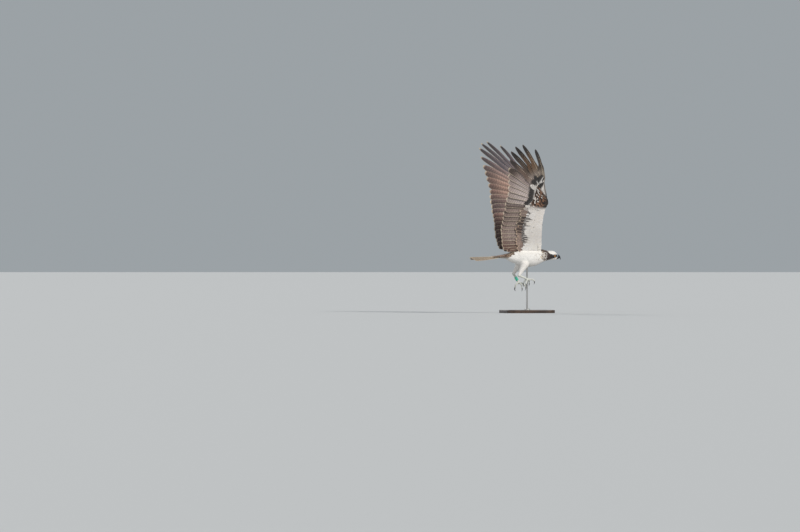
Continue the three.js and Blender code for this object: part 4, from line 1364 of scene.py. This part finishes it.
def dress_wing(name, side, face):
    """All coverts of one face of one wing."""
    coat = Plumage()
    back = face > 0

    def row(tier, number, run, length, width, root_lift, tip_lift, **more):
        chance = rng.random(len(number))
        run = run + 3 * (rng.random(len(number)) - 0.5)
        length = length * (0.9 + 0.2 * rng.random(len(number)))
        colours = above_colour(number, chance) if back else below_colour(number, run, chance, tier)
        width = np.broadcast_to(width, len(number))[:, None, None]
        covert_row(coat, side, face, number, run, length, width, root_lift, tip_lift, colours, **more)

    last = 23.0 if back else 24.2
    great = np.arange(1, last, 0.7)
    length = np.interp(great, *GREAT_SHARE) * feather_frame(great)[2][:, 0] + 4
    row(GREAT, great, np.full(len(great), -4.0), length, 14.0, 1.5 if back else 2.0,
        4.5 if back else 5.5, bars=0.0 if back else 0.25)
    medium = along_row(lambda n: -MEDIAN_ROOT * FORWARD(n)[..., 0], 7.0, 1.2, last)
    behind = MEDIAN_ROOT * FORWARD(medium)[:, 0]
    length = np.interp(medium, *MEDIAN_SHARE) * feather_frame(medium)[2][:, 0] + behind
    row(MEDIAN, medium, -behind, length, 8.5, 2.0, 5.2 if back else 6.0)
    for run in () if back else WRIST_RUNS:
        wrist = along_row(lambda n: 0 * n + run, 7.0, 4.2 + 0.02 * run + 0.3 * rng.random(), 12.4)
        row(WRIST, wrist, np.full(len(wrist), float(run)), np.full(len(wrist), 20.0), 6.0, 4.6, 7.0)
    for level, forward in enumerate(SMALL_ROOTS):
        end = last - 0.9 * rng.random()
        small = along_row(lambda n: -forward * FORWARD(n)[..., 0], 6.0, 1.0 + 0.2 * (level % 2), end)
        size = 12 + 0.15 * FORWARD(small)[:, 0]
        row(SMALL, small, -forward * FORWARD(small)[:, 0], size, 0.31 * size + 0.8, 1.2,
            2.4 + 0.8 * (1 - forward))
    finish_piece(coat.build(name), plume, "plumage_brown" if back else "plumage_white")


# %% [markdown]
# Short feathers wrap the leading edge, where the brown of the back meets the white lining. The same
# nearest-point trick as on the body lays them round the blunt front of the flesh.

# %% Wrap the leading edge
EDGE_POINTS = 150
EDGE_LIFTS = (-2.6, -1.3, 0.0, 1.3, 2.6)
EDGE_HEIGHTS = ([345, 420, 520, 622, 668, 722, 772, 838], [24, 22, 17, 13, 9.5, 5, 1, 0.6])


def dress_edge(name, side):
    """Short feathers that wrap the leading edge of one wing."""
    coat = Plumage()
    mirror = [1, side, 1]
    fine = track(np.column_stack([np.arange(10), WING_CORE]))(np.linspace(0, 8.9, EDGE_POINTS))
    front, rear = fine[:, :3], fine[:, 3:6]
    roots, ways = [], []
    up = unit(np.cross(np.gradient(front, axis=0), rear - front))
    for lift in EDGE_LIFTS:
        roots.append(front + up * lift * (fine[:, 6:] / 12) - 1.2 * np.abs(lift) * unit(front - rear))
        ways.append(unit(rear - front) + up * lift * 0.16)
    roots, ways = np.concatenate(roots) * mirror, np.concatenate(ways) * mirror
    shift = rng.normal(size=roots.shape) * 0.9
    near, normal = on_skin(roots + shift)
    good = np.linalg.norm(near - roots, axis=1) < 9
    roots, ways = near[good], ways[good] + 0.08 * rng.normal(size=ways[good].shape)
    upward = np.tile(up * mirror, (len(EDGE_LIFTS), 1))[good]
    on_back = np.einsum("nx,nx->n", normal[good], upward) > 0.15
    chance = rng.random(len(roots))
    number = np.interp(roots[:, 2], *EDGE_HEIGHTS)
    light = below_colour(number, -0.9 * FORWARD(number)[:, 0], chance, SMALL)[:2]
    dark = above_colour(number, chance)[:2]
    colours = [np.where(on_back[:, None], *pair) for pair in zip(dark, light)]
    size = np.full(len(roots), 13.0)
    lay_feathers(coat, roots, ways, size, 0.3 * size, 0.05 * size + 0.5, colours, streak=0.2)
    finish_piece(coat.build(name), plume, "plumage_white")


# %% [markdown]
# Soft feathers hide the joint between wing and body, white in the armpit and brown over the shoulder.
# They are longer than the ones around them and may reach past the edge of the flesh. Then each wing is
# dressed in turn, from the joint outwards.

# %% Close the joint and dress both wings
ROOT_HEIGHTS = np.arange(364, 424, 5.5)
ROOT_HALF_WIDTH = 17


def dress_root(name, side, face):
    """Soft feathers over the wing's root, white in the armpit and brown over the shoulder."""
    coat = Plumage()
    roots = []
    for row, z in enumerate(ROOT_HEIGHTS):
        x = np.arange(156 - 4 * (row % 2), 34, -6.5)
        y = np.interp(z, [345, 420, 505], [24, 50, 80]) - face * ROOT_HALF_WIDTH
        roots.append(np.stack([x, np.full(len(x), y * side), np.full(len(x), z)], -1))
    roots = np.concatenate(roots)
    roots = roots + 1.3 * rng.normal(size=roots.shape)
    roots = roots[near_skin(roots, 11)]
    count = len(roots)
    chance = rng.random(count)
    size = np.interp(roots[:, 0], [20, 70, 150], [34, 30, 20]) * (0.9 + 0.2 * rng.random(count))
    flow = np.array([-1, 0, -0.12]) + 0.06 * rng.normal(size=roots.shape)
    white = blend(WHITE, CREAM, 0.1 * chance)
    colours = above_colour(np.full(count, 22.0), chance)[:2] if face > 0 else (white, strong(white, 0.0))
    lay_feathers(coat, roots, flow, size, 0.26 * size, 0.05 * size + 1.2, colours, streak=0.15,
                 free=True)
    finish_piece(coat.build(name), plume, "plumage_brown" if face > 0 else "plumage_white")


for side, word in ((1, "left"), (-1, "right")):
    dress_root("armpit_" + word, side, -1)
    dress_root("shoulder_" + word, side, 1)
    dress_wing("coverts_above_" + word, side, 1)
    dress_wing("coverts_below_" + word, side, -1)
    dress_edge("leading_edge_" + word, side)

# %% [markdown]
# Longer coverts close the gap between rump and tail, above and below, in a few soft rows.

# %% Cover the root of the tail
TAIL_COVERT_STARTS = (-50, -60, -70, -82, -96)
TAIL_COVERT_FAN = math.radians(9)
TAIL_COVERT_HALF = 6.5


def tail_covert_row(coat, face, row, start, base, far_tone, fringe):
    """One row across the rump. face is 1 above and -1 below."""
    count = 13 - row
    t = COVERT_ROWS[:, None]
    share = np.linspace(-1, 1, count) + 0.04 * rng.normal(size=count)
    size = (52 - 2 * row) * (0.92 + 0.16 * rng.random(count))
    turn = share * TAIL_COVERT_FAN
    along = np.stack([-np.cos(turn), np.sin(turn), np.full(count, -math.sin(TAIL_FALL))], -1)
    wide = np.interp(start, [-130, -50], [15, 25])
    drop = (start + 62) * math.sin(TAIL_FALL)
    tall = np.interp(start, [-130, -100, -75, -50], [4, 6.5, 10, 14]) * np.sqrt(1 - 0.8 * share**2)
    root = np.stack([np.full(count, float(start)), wide * share, 340 + drop + face * tall], -1)
    line = root[:, None, None] + (along * size[:, None])[:, None, None] * t[..., None]
    across = COVERT_COLUMNS * TAIL_COVERT_HALF
    line = line + np.array([0, 1, 0]) * (across * COVERT_WIDTH[:, None])[..., None]
    sink = face * (tall[:, None, None] - 3.5 - 0.5 * row) * ease(0.0, 1.0, t)
    sink = sink + face * 0.14 * np.abs(across) * np.abs(share)[:, None, None]
    line[..., 2] -= sink - face * 1.2
    tint = blend(base, far_tone, 0.5 * rng.random(count))
    coat.add(line, grid_outward(line, np.array([0, 0, float(face)])), COVERT_HALF, COVERT_ROWS,
             COVERT_COLUMNS, size, tint=tint, fringe=fringe, streak=0.3,
             uv=patch_map(map_place(root), COVERT_ROWS, COVERT_COLUMNS))


coat = Plumage()
for face, *tones in ((1, BROWN, RUFOUS, strong(BUFF, 0.85)), (-1, WHITE, CREAM, strong(WHITE, 0.0))):
    for row, start in enumerate(TAIL_COVERT_STARTS):
        tail_covert_row(coat, face, row, start, *tones)
finish_piece(coat.build("tail_coverts"), plume, "plumage_brown")

# %% [markdown]
# The bill ends in a long black hook. Its rings tilt as they go, upright at the face and almost level at
# the point, so the hook stays round. A small pit in each side of the upper half is a nostril.

# %% Shape the bill
# Place along, upper line x and z, lower line x and z, half the width
UPPER_BILL = track([
    [0, 247, 350.5, 247, 334.5, 9.2], [1, 261, 354.2, 260, 333.4, 8.8],
    [1.9, 270, 352.8, 267.5, 333.0, 7.6], [2.1, 271, 351.6, 268.5, 333.0, 7.0],
    [3, 275, 349.2, 272, 332.8, 6.2], [4, 279.8, 345.2, 276, 331.8, 5.0],
    [5, 284.0, 338.5, 279.5, 329.8, 3.7], [6, 286.6, 330.5, 282.4, 326.3, 2.4],
    [7, 287.0, 323.5, 284.6, 321.6, 1.2], [7.6, 286.4, 318.9, 285.8, 318.6, 0.35],
])
LOWER_BILL = track([
    [0, 247, 334.0, 247, 322.4, 8.0], [1, 262, 333.9, 262, 323.4, 7.0],
    [2, 272, 333.3, 272, 325.4, 5.3], [3, 278.5, 331.6, 278.0, 328.4, 2.8],
])
BILL_SIDES = 72
NOSTRIL_X, NOSTRIL_Z, NOSTRIL_SLANT = 268.5, 345.0, 0.7


def bill_form(at, end, count, ridge, dent=0.0):
    """A loft of rings between an upper and a lower line. ridge narrows the upper side."""
    u = np.linspace(0, end, count)
    high_x, high_z, low_x, low_z, half = at(u).T[..., None]
    angle = circle(BILL_SIDES)
    height = np.sin(angle)
    share = (height + 1) / 2
    power = np.abs(np.cos(angle)) ** 0.9 * np.sign(np.cos(angle))
    y = half * power * (1 - ridge * np.maximum(height, 0) ** 2)
    x = low_x + (high_x - low_x) * share
    z = low_z + (high_z - low_z) * share
    c, s = math.cos(NOSTRIL_SLANT), math.sin(NOSTRIL_SLANT)
    along = (x - NOSTRIL_X) * c - (z - NOSTRIL_Z) * s
    over = (x - NOSTRIL_X) * s + (z - NOSTRIL_Z) * c
    pit = np.exp(-((along / 2.4) ** 2) - (over / 0.9) ** 2)
    points, faces = loft(np.stack([x, y - np.sign(y) * pit * dent, z], -1))
    number = np.concatenate([np.repeat(u, BILL_SIDES), [0, end]])
    return points, faces, number, np.append(pit * (dent > 0), [0, 0])


print("the hook's point is at", UPPER_BILL(7.6)[:2], "mm")

# %% [markdown]
# The bill grows out of a blue-grey cere, a soft step at its base. Its horn is black and a little uneven,
# in gloss too, and the claws later share its finish.

# %% Tint the bill
# The last tone is painted shade, which darkens the nostril's pit as the inside of a hollow.
CERE, HORN_BLACK, PIT_SHADE = tone(0.47, 0.52, 0.56), tone(0.10, 0.10, 0.11), tone(0.05, 0.05, 0.05)


def horn_tint(points, number, cere_end, pit):
    """Blue-grey cere at the base, then black horn, and painted shade in the nostril's pit."""
    ragged = 0.1 * np.sin(points[:, 2] * 0.9) * np.cos(points[:, 1] * 0.7)
    cere = ease(cere_end + 0.14, cere_end - 0.14, number + ragged)
    return {"tint": strong(blend(blend(HORN_BLACK, CERE, cere), PIT_SHADE, ease(0.3, 0.8, pit)))}


horn = Finish("horn", roughness=0.32)
patchy = horn.grain(horn.where(), 260.0, 4.0)
horn.colour(horn.shaded(horn.read("tint", "Color"), horn.step(patchy, 0.3, 0.75, 0.82, 1.15)))
horn.rough(horn.step(patchy, 0.3, 0.8, 0.26, 0.45))
horn.bump(horn.grain(horn.where(), 900.0), 0.12, 0.0003)

for name, at, end, count, ridge, dent, cere_end, node in (
    ("bill_top", UPPER_BILL, 7.6, 130, 0.42, 1.5, 2.0, "bill_upper"),
    ("bill_bottom", LOWER_BILL, 3.0, 40, 0.1, 0.0, 0.75, "bill_lower"),
):
    points, faces, number, pit = bill_form(at, end, count, ridge, dent)
    piece = mesh_piece(name, points, faces, horn_tint(points, number, cere_end, pit))
    finish_piece(piece, horn.material, "bill", node)

# %% [markdown]
# An osprey's eye is a clear yellow to orange iris with a round black pupil. The ball is one sphere whose
# points carry their angle from the line of sight, and the finish turns that angle into pupil, iris and
# the dark rim.

# %% Shape the eyeballs
BALL_RINGS, BALL_SIDES = 40, 48


def sight_lines(side):
    """The direction of sight and two directions across it."""
    sight = unit(np.array([0.24, side, 0.02]))
    across = unit(np.cross(sight, [0, 0, 1]))
    return sight, across, np.cross(sight, across)


def eye_ball(word, side):
    sight, across, third = sight_lines(side)
    theta = np.linspace(0.02, np.pi - 0.02, BALL_RINGS)[:, None]
    phi = circle(BALL_SIDES)
    ring = (np.cos(theta)[..., None] * sight
            + np.sin(theta)[..., None] * (np.cos(phi)[:, None] * across + np.sin(phi)[:, None] * third))
    points, faces = loft(EYE * [1, side, 1] + EYE_RADIUS * ring)
    angle = np.append(np.repeat(theta, BALL_SIDES), [0, np.pi])
    turn = np.append(np.tile(phi, BALL_RINGS), [0, 0])
    numbers = {"sight": np.stack([angle, np.cos(turn), np.sin(turn)], -1)}
    piece = mesh_piece("eyeball_" + word, points, faces, numbers)
    finish_piece(piece, iris.material, "eye", "eye_" + word)


iris = Finish("iris", roughness=0.12, coat_weight=1.0, coat_roughness=0.02, coat_ior=1.38)
angle, turn_x, turn_y = iris.split(iris.read("sight"))
rays = iris.grain(iris.stretched((turn_x, turn_y, angle), (9.0, 9.0, 2.0)), detail=4.0)
gold = iris.mix(iris.step(rays, 0.3, 0.7), (0.62, 0.20, 0.015, 1), (0.85, 0.40, 0.04, 1))
gold = iris.mix(iris.step(angle, 0.62, 0.80), gold, (0.10, 0.03, 0.01, 1))
gold = iris.mix(iris.step(angle, 0.80, 0.90), gold, (0.012, 0.010, 0.010, 1))
iris.colour(iris.mix(iris.step(angle, 0.44, 0.40), gold, (0.004, 0.004, 0.005, 1)))
print("eyes of", 2 * EYE_RADIUS, "mm")

# %% [markdown]
# A thin rim of bare dark skin holds each eye. It is a ring of small circles, flatter above, where the
# upper lid comes down under the brow.

# %% Rim the eyes with lids
LID_SIDES, LID_TUBE = 40, 10
LID_FORWARD, LID_RADIUS, LID_THICK = 4.4, 5.9, 1.5
LOWER_LID, UPPER_LID = 0.92, 0.71


def eye_lid(word, side):
    sight, across, third = sight_lines(side)
    t = circle(LID_SIDES)
    tube = circle(LID_TUBE)[:, None]
    lower = np.sign(third[2]) * np.sin(t) < 0
    flat = np.where(lower, LOWER_LID, UPPER_LID) * np.sin(t)
    spoke = (np.cos(t)[:, None] * across + flat[:, None] * third)[:, None]
    ring = EYE * [1, side, 1] + sight * LID_FORWARD + spoke * LID_RADIUS
    points = (ring + LID_THICK * (np.cos(tube) * spoke + np.sin(tube) * sight)).reshape(-1, 3)
    grid = np.arange(len(points)).reshape(LID_SIDES, LID_TUBE)
    rim = mesh_piece("lid_" + word, points, [grid_faces(grid, ring=True, closed=True)])
    finish_piece(rim, lid_skin.material, "bill")


lid_skin = Finish("lid skin", roughness=0.55, base_color=(0.03, 0.03, 0.034, 1))
lid_skin.bump(lid_skin.grain(lid_skin.where(), 1500.0), 0.4, 0.0003)
for word, side in (("left", 1), ("right", -1)):
    eye_ball(word, side)
    eye_lid(word, side)

# %% [markdown]
# Tarsi and toes are bare. A tarsus is a slim loft with a knob at heel and foot, each toe a bent loft with
# slight knuckles and a round end, and each claw a long curve that thins to a point.

# %% Shape tarsi, toes and claws
TARSUS_RADIUS = 6
TARSUS_STATIONS = np.linspace(-0.06, 1, 24)
TARSUS_SHARES = ([-0.06, 0, 0.15, 0.5, 0.88, 1], [1.3, 1.35, 1.08, 0.98, 1.03, 1.18])
TARSUS_OFFSET = 3
TOE_RADII = np.array([1.15, 1, 0.92, 0.78]) * 4.6
TOE_STATIONS = np.linspace(0, 1, 9)
CLAW_LENGTH, CLAW_ROOT = 24, 2.5
CLAW_STEPS, CLAW_BEND = 15, 0.098


def toe_path(start, angle, reach, drop):
    turn = math.radians(angle)
    t = TOE_STATIONS
    path = start + np.outer(reach * np.sin(t * np.pi / 2.4), [math.cos(turn), math.sin(turn), 0])
    path[:, 2] -= drop * t**2 - 2 * np.sin(np.pi * t)
    return path


def claw(toe):
    """A claw that goes on from the end of a toe and bends down in even steps."""
    along = unit(toe[-1] - toe[-2])
    level = unit(along * [1, 1, 0])
    pitch = max(-0.9, math.asin(along[2])) - 0.14
    path = [toe[-1] - CLAW_ROOT * along]
    for _ in range(CLAW_STEPS):
        way = level * math.cos(pitch) + [0, 0, math.sin(pitch)]
        path.append(path[-1] + (CLAW_LENGTH + CLAW_ROOT) / CLAW_STEPS * way)
        pitch -= CLAW_BEND
    girth = 2.9 * (1 - np.linspace(0, 1, CLAW_STEPS + 1) ** 1.5) + 0.15
    return loft(limb_rings(path, girth, 14))


def ball(centre, radius):
    theta = np.linspace(0.05, np.pi - 0.05, 14)[:, None]
    phi = circle(20)
    ring = np.broadcast_arrays(np.sin(theta) * np.cos(phi), np.sin(theta) * np.sin(phi), np.cos(theta))
    return loft(centre + radius * np.stack(ring, -1))


def leg_forms(leg):
    """The overlapping forms of one bare leg, and its claws."""
    heel, foot = leg["heel"], leg["foot"]
    shin = TARSUS_OFFSET * unit(foot - heel)
    path = heel + shin + np.outer(TARSUS_STATIONS, foot - heel - shin)
    radii = TARSUS_RADIUS * np.interp(TARSUS_STATIONS, *TARSUS_SHARES)
    forms = [loft(limb_rings(path, radii, 20)), ball(path[0], 1.27 * TARSUS_RADIUS),
             ball(foot + shin, 1.33 * TARSUS_RADIUS)]
    girth = np.interp(TOE_STATIONS, [0, 0.34, 0.68, 1], TOE_RADII)
    girth = girth * (1 + 0.07 * np.sin(TOE_STATIONS * 3 * 2 * np.pi))
    claws = []
    for toe in leg["toes"].values():
        line = toe_path(foot + shin, *toe)
        forms += [loft(limb_rings(line, girth, 16)), ball(line[-1], TOE_RADII[-1] * 0.98)]
        claws.append(claw(line))
    return forms, claws


print("a claw along its curve:", CLAW_LENGTH, "mm")

# %% [markdown]
# The skin of the feet is rough: round scales above, sharp little spicules under the toes for a sure grip.
# The forms are fused into one, and each point is pushed in or out by a cell pattern, so the scales are
# true relief. The grooves between them are a little darker.

# %% Cover the legs with scales
from mathutils import noise

CELL_SCALE = 0.42
SCALE_TONES = tone(0.79, 0.80, 0.77), tone(0.87, 0.87, 0.83)
GROOVE_TONE, CLAW_TONE = tone(0.55, 0.54, 0.51), tone(0.09, 0.085, 0.085)


def cell_relief(points):
    """How far each point is from the border of its cell, at most one half."""
    relief = np.empty(len(points))
    for i, p in enumerate(points):
        cells = noise.voronoi(Vector(p) * CELL_SCALE, distance_metric="DISTANCE", exponent=2.5)[0]
        relief[i] = min(cells[1] - cells[0], 0.5)
    return relief


def scaly_leg(name, leg):
    """Tarsus and foot as one rough skin, with its claws."""
    forms, claws = leg_forms(leg)
    points, faces = fused(forms, voxel=0.75, smoothing=4)
    tree = BVHTree.FromPolygons(points.tolist(), faces.tolist())
    normals = unit(np.array([tree.find_nearest(Vector(p))[1] for p in points]))
    relief = cell_relief(points)
    under = ease(0.1, -0.5, normals[:, 2]) * (points[:, 2] < leg["foot"][2] + 2)
    points = points + normals * ((relief - 0.3) * 0.75 + under * (relief > 0.4) * 0.35)[:, None]
    tint = blend(blend(*SCALE_TONES, ease(0, 0.5, relief)), GROOVE_TONE, 0.6 * ease(0.22, 0.02, relief))
    piece = mesh_piece("leg_" + name, points, [faces], {"tint": strong(tint)}, sharp=80)
    finish_piece(piece, scale_skin.material, "leg_skin", "tarsus_" + name, "foot_" + name)
    points, faces = joined(claws)
    piece = mesh_piece("claws_" + name, points, faces,
                       {"tint": strong(np.tile(CLAW_TONE, (len(points), 1)))})
    finish_piece(piece, horn.material, "claw", *["claw_" + toe + "_" + name for toe in leg["toes"]])


scale_skin = Finish("scale skin", roughness=0.5)
scale_skin.colour(scale_skin.read("tint", "Color"))
scale_skin.bump(scale_skin.grain(scale_skin.where(), 700.0), 0.25, 0.0003)
scaly_leg("right", LEGS["right"])
scaly_leg("left", LEGS["left"])

# %% [markdown]
# The colour ring on the far leg is a thin plastic sleeve, a little wider than the tarsus, so it slides.
# Its profile with rounded lips is turned about the leg.

# %% Slip on the ring
RING_INNER, RING_OUTER, RING_HEIGHT, RING_LIP = 7.6, 8.8, 24, 0.45
RING_PLACE = 0.56  # share of the way from heel to foot
RING_SIDES = 48


def ring_profile():
    """Radius and height of the sleeve's outline, corner by corner."""
    profile = []
    for start, radius, level in ((0, RING_OUTER, 0.5), (0.5, RING_INNER, 0.5),
                                 (1, RING_INNER, -0.5), (1.5, RING_OUTER, -0.5)):
        centre = radius - RING_LIP if radius == RING_OUTER else radius + RING_LIP
        middle = level * (RING_HEIGHT - 2 * RING_LIP)
        for a in np.pi * (start + np.linspace(0, 0.5, 4)):
            profile.append((centre + RING_LIP * math.cos(a), middle + RING_LIP * math.sin(a)))
    return np.array(profile)


def sleeve(middle, axis):
    """A thin sleeve round an axis."""
    across = unit(np.cross(axis, [0, 1, 0]))
    third = np.cross(axis, across)
    phi = circle(RING_SIDES)
    spoke = np.cos(phi)[:, None] * across + np.sin(phi)[:, None] * third
    profile = ring_profile()
    points = (middle + spoke[:, None] * profile[:, :1] + axis * profile[:, 1:]).reshape(-1, 3)
    grid = np.arange(len(points)).reshape(RING_SIDES, -1)
    return points, [grid_faces(grid, ring=True, closed=True)]


heel, foot = LEGS["left"]["heel"], LEGS["left"]["foot"]
ring = mesh_piece("colour_ring", *sleeve(heel + RING_PLACE * (foot - heel), unit(foot - heel)))
teal = Finish("teal plastic", roughness=0.38, base_color=(*tone(0.24, 0.68, 0.57), 1))
teal.rough(teal.step(teal.grain(teal.where(), 400.0), 0.3, 0.7, 0.3, 0.5))
finish_piece(ring, teal.material, "ring_plastic", "leg_ring")

# %% [markdown]
# The stand is deliberately plain. Its base is a low wooden plinth with eased edges, lofted from rings
# that draw in at the top, and its grain is a noise stretched along the board.

# %% Build the plinth
PLINTH_LENGTH, PLINTH_WIDTH, PLINTH_HEIGHT = 300, 230, 18
PLINTH_CORNER, PLINTH_BEVEL, PLINTH_SIDES = 40, 3, 96


def plinth_ring(inset, z):
    """A rounded rectangle at a height, drawn in by inset."""
    turn = circle(PLINTH_SIDES)
    quarter = np.floor(turn / (np.pi / 2))
    middle_x = np.where((quarter == 0) | (quarter == 3), 1, -1) * (PLINTH_LENGTH / 2 - PLINTH_CORNER)
    middle_y = np.where(quarter < 2, 1, -1) * (PLINTH_WIDTH / 2 - PLINTH_CORNER)
    radius = PLINTH_CORNER - inset
    ring = [middle_x + radius * np.cos(turn), middle_y + radius * np.sin(turn)]
    return np.stack([*ring, np.full(PLINTH_SIDES, z)], -1)


def plinth():
    """A rounded block on the floor, as rings from its underside to its top."""
    bevel, height = PLINTH_BEVEL, PLINTH_HEIGHT
    rings = [(bevel / 2, 0.0), (0.0, bevel / 2)] + [(0.0, height * k / 6) for k in (1, 2, 3, 4)]
    rings += [(bevel * (1 - math.cos(a)), height - bevel + bevel * math.sin(a))
              for a in np.linspace(0, np.pi / 2, 7)]
    rings += [(bevel + 6, height), (bevel + 20, height)]
    return loft([plinth_ring(inset, z) for inset, z in rings])


def in_metres(form):
    return form[0] / MM_PER_M, form[1]


wood = Finish("dark wood", roughness=0.4, coat_weight=0.25, coat_roughness=0.2)
place_in_wood = wood.split(wood.where())
growth = wood.grain(wood.stretched(place_in_wood, (6.0, 60.0, 60.0)), detail=4.0)
rings = wood.maths("SINE", wood.times(growth, 24.0))
fibre = wood.grain(wood.stretched(place_in_wood, (40.0, 900.0, 1.0)))
grained = wood.mix(wood.step(rings, -0.8, 0.9), (0.028, 0.014, 0.008, 1), (0.062, 0.032, 0.018, 1))
wood.colour(wood.mix(wood.step(fibre, 0.55, 0.75, 0, 0.6), grained, (0.018, 0.010, 0.006, 1)))
wood.rough(wood.step(fibre, 0.3, 0.7, 0.34, 0.5))
wood.bump(fibre, 0.12, 0.0003)
base = mesh_piece("plinth", *in_metres(plinth()), level=False)
finish_piece(base, wood.material, "stand_wood", "stand_base")

# %% [markdown]
# A steel rod, held by a low collar, meets the bird behind the breast. Both are turned parts: a profile of
# radii and heights swept round the upright, with fine turning marks in the finish.

# %% Turn the rod and the collar
ROD_RADIUS = 5
ROD_HEIGHTS = (18.3, 150, 250, 310)
COLLAR = [(16, 18.2), (16, 22.6), (15.4, 24.4), (13.8, 25.7), (11.6, 26.2), (5.4, 26.2)]


def turned(profile, sides=48):
    """A round solid about the stand's upright, in metres, from radii and heights."""
    phi = circle(sides)
    rings = [np.stack([r * np.cos(phi), r * np.sin(phi), np.full(sides, z)], -1) for r, z in profile]
    return in_metres(loft(rings))


steel = Finish("steel", roughness=0.3, metallic=1.0, base_color=(0.50, 0.49, 0.47, 1))
marks = steel.grain(steel.stretched(steel.split(steel.where()), (20.0, 20.0, 2500.0)), detail=2.0)
steel.rough(steel.step(marks, 0.3, 0.7, 0.24, 0.42))
steel.bump(marks, 0.05, 0.0002)
rod = mesh_piece("rod", *turned([(ROD_RADIUS, z) for z in ROD_HEIGHTS]), level=False)
finish_piece(rod, steel.material, "stand_metal", "stand_rod")
collar = mesh_piece("collar", *turned(COLLAR), level=False)
finish_piece(collar, steel.material, "stand_metal", "stand_collar")

# %% [markdown]
# A plain pale floor reaches out to the horizon, so that no edge of it shows. The sky is a mid grey, since
# white plumage would be lost against a white one.

# %% Lay the floor and the sky
FLOOR_RADIUS, FLOOR_DEPTH = 200000, 30

ground = mesh_piece("floor", *turned([(FLOOR_RADIUS, -FLOOR_DEPTH), (FLOOR_RADIUS, 0)], 64), level=False)
pale = Finish("pale floor", roughness=0.9, base_color=(0.50, 0.51, 0.52, 1))
ground.data.materials.append(pale.material)

world = bpy.data.worlds.new("studio")
world.use_nodes = True
sky = world.node_tree.nodes["Background"].inputs
sky["Color"].default_value = (0.33, 0.36, 0.38, 1)
sky["Strength"].default_value = 1.0
bpy.context.scene.world = world
print("floor of", FLOOR_RADIUS / MM_PER_M, "m all round")

# %% [markdown]
# Three large soft lights show the form without hard glare: a warm key from the camera's right, a cool
# weak fill from its left, and a rim light from behind. Suns are used, since they light bird and floor
# evenly.

# %% Light the stage
def soft_light(name, towards, width, power, colour):
    """A broad far light, so that the floor is lit evenly out to the horizon."""
    light = bpy.data.lights.new(name, "SUN")
    light.angle = math.radians(width)
    light.energy = power
    light.color = colour
    lamp = bpy.data.objects.new(name, light)
    lamp.rotation_euler = Vector(towards).to_track_quat("-Z", "Y").to_euler()
    bpy.context.collection.objects.link(lamp)


soft_light("key", (-0.55, 1.0, -0.75), 14, 2.6, (1.0, 0.97, 0.92))
soft_light("fill", (0.9, 0.5, -0.35), 40, 0.55, (0.93, 0.96, 1.0))
soft_light("rim", (0.2, -1.0, -0.6), 25, 0.9, (1.0, 0.98, 0.95))
print("lights:", len(bpy.data.lights))

# %% [markdown]
# The photo was taken from far away with a long lens, from the bird's right and a little behind it.

# %% Point the camera
SWING = math.radians(16)
DISTANCE = 30
AIM_RIGHT, AIM_HEIGHT = -0.762, 0.282

camera_data = bpy.data.cameras.new("camera")
camera_data.lens = 225
camera_data.sensor_width = 36
camera_data.clip_end = 500
camera = bpy.data.objects.new("camera", camera_data)
right = Vector((math.cos(SWING), -math.sin(SWING), 0))
forward = Vector((math.sin(SWING), math.cos(SWING), 0))
camera.location = right * AIM_RIGHT + Vector((0, 0, AIM_HEIGHT)) - forward * DISTANCE
camera.rotation_euler = forward.to_track_quat("-Z", "Y").to_euler()
bpy.context.collection.objects.link(camera)
bpy.context.scene.camera = camera
bpy.context.scene.view_settings.view_transform = "Standard"
print("camera at", [round(value, 2) for value in camera.location])

# %% [markdown]
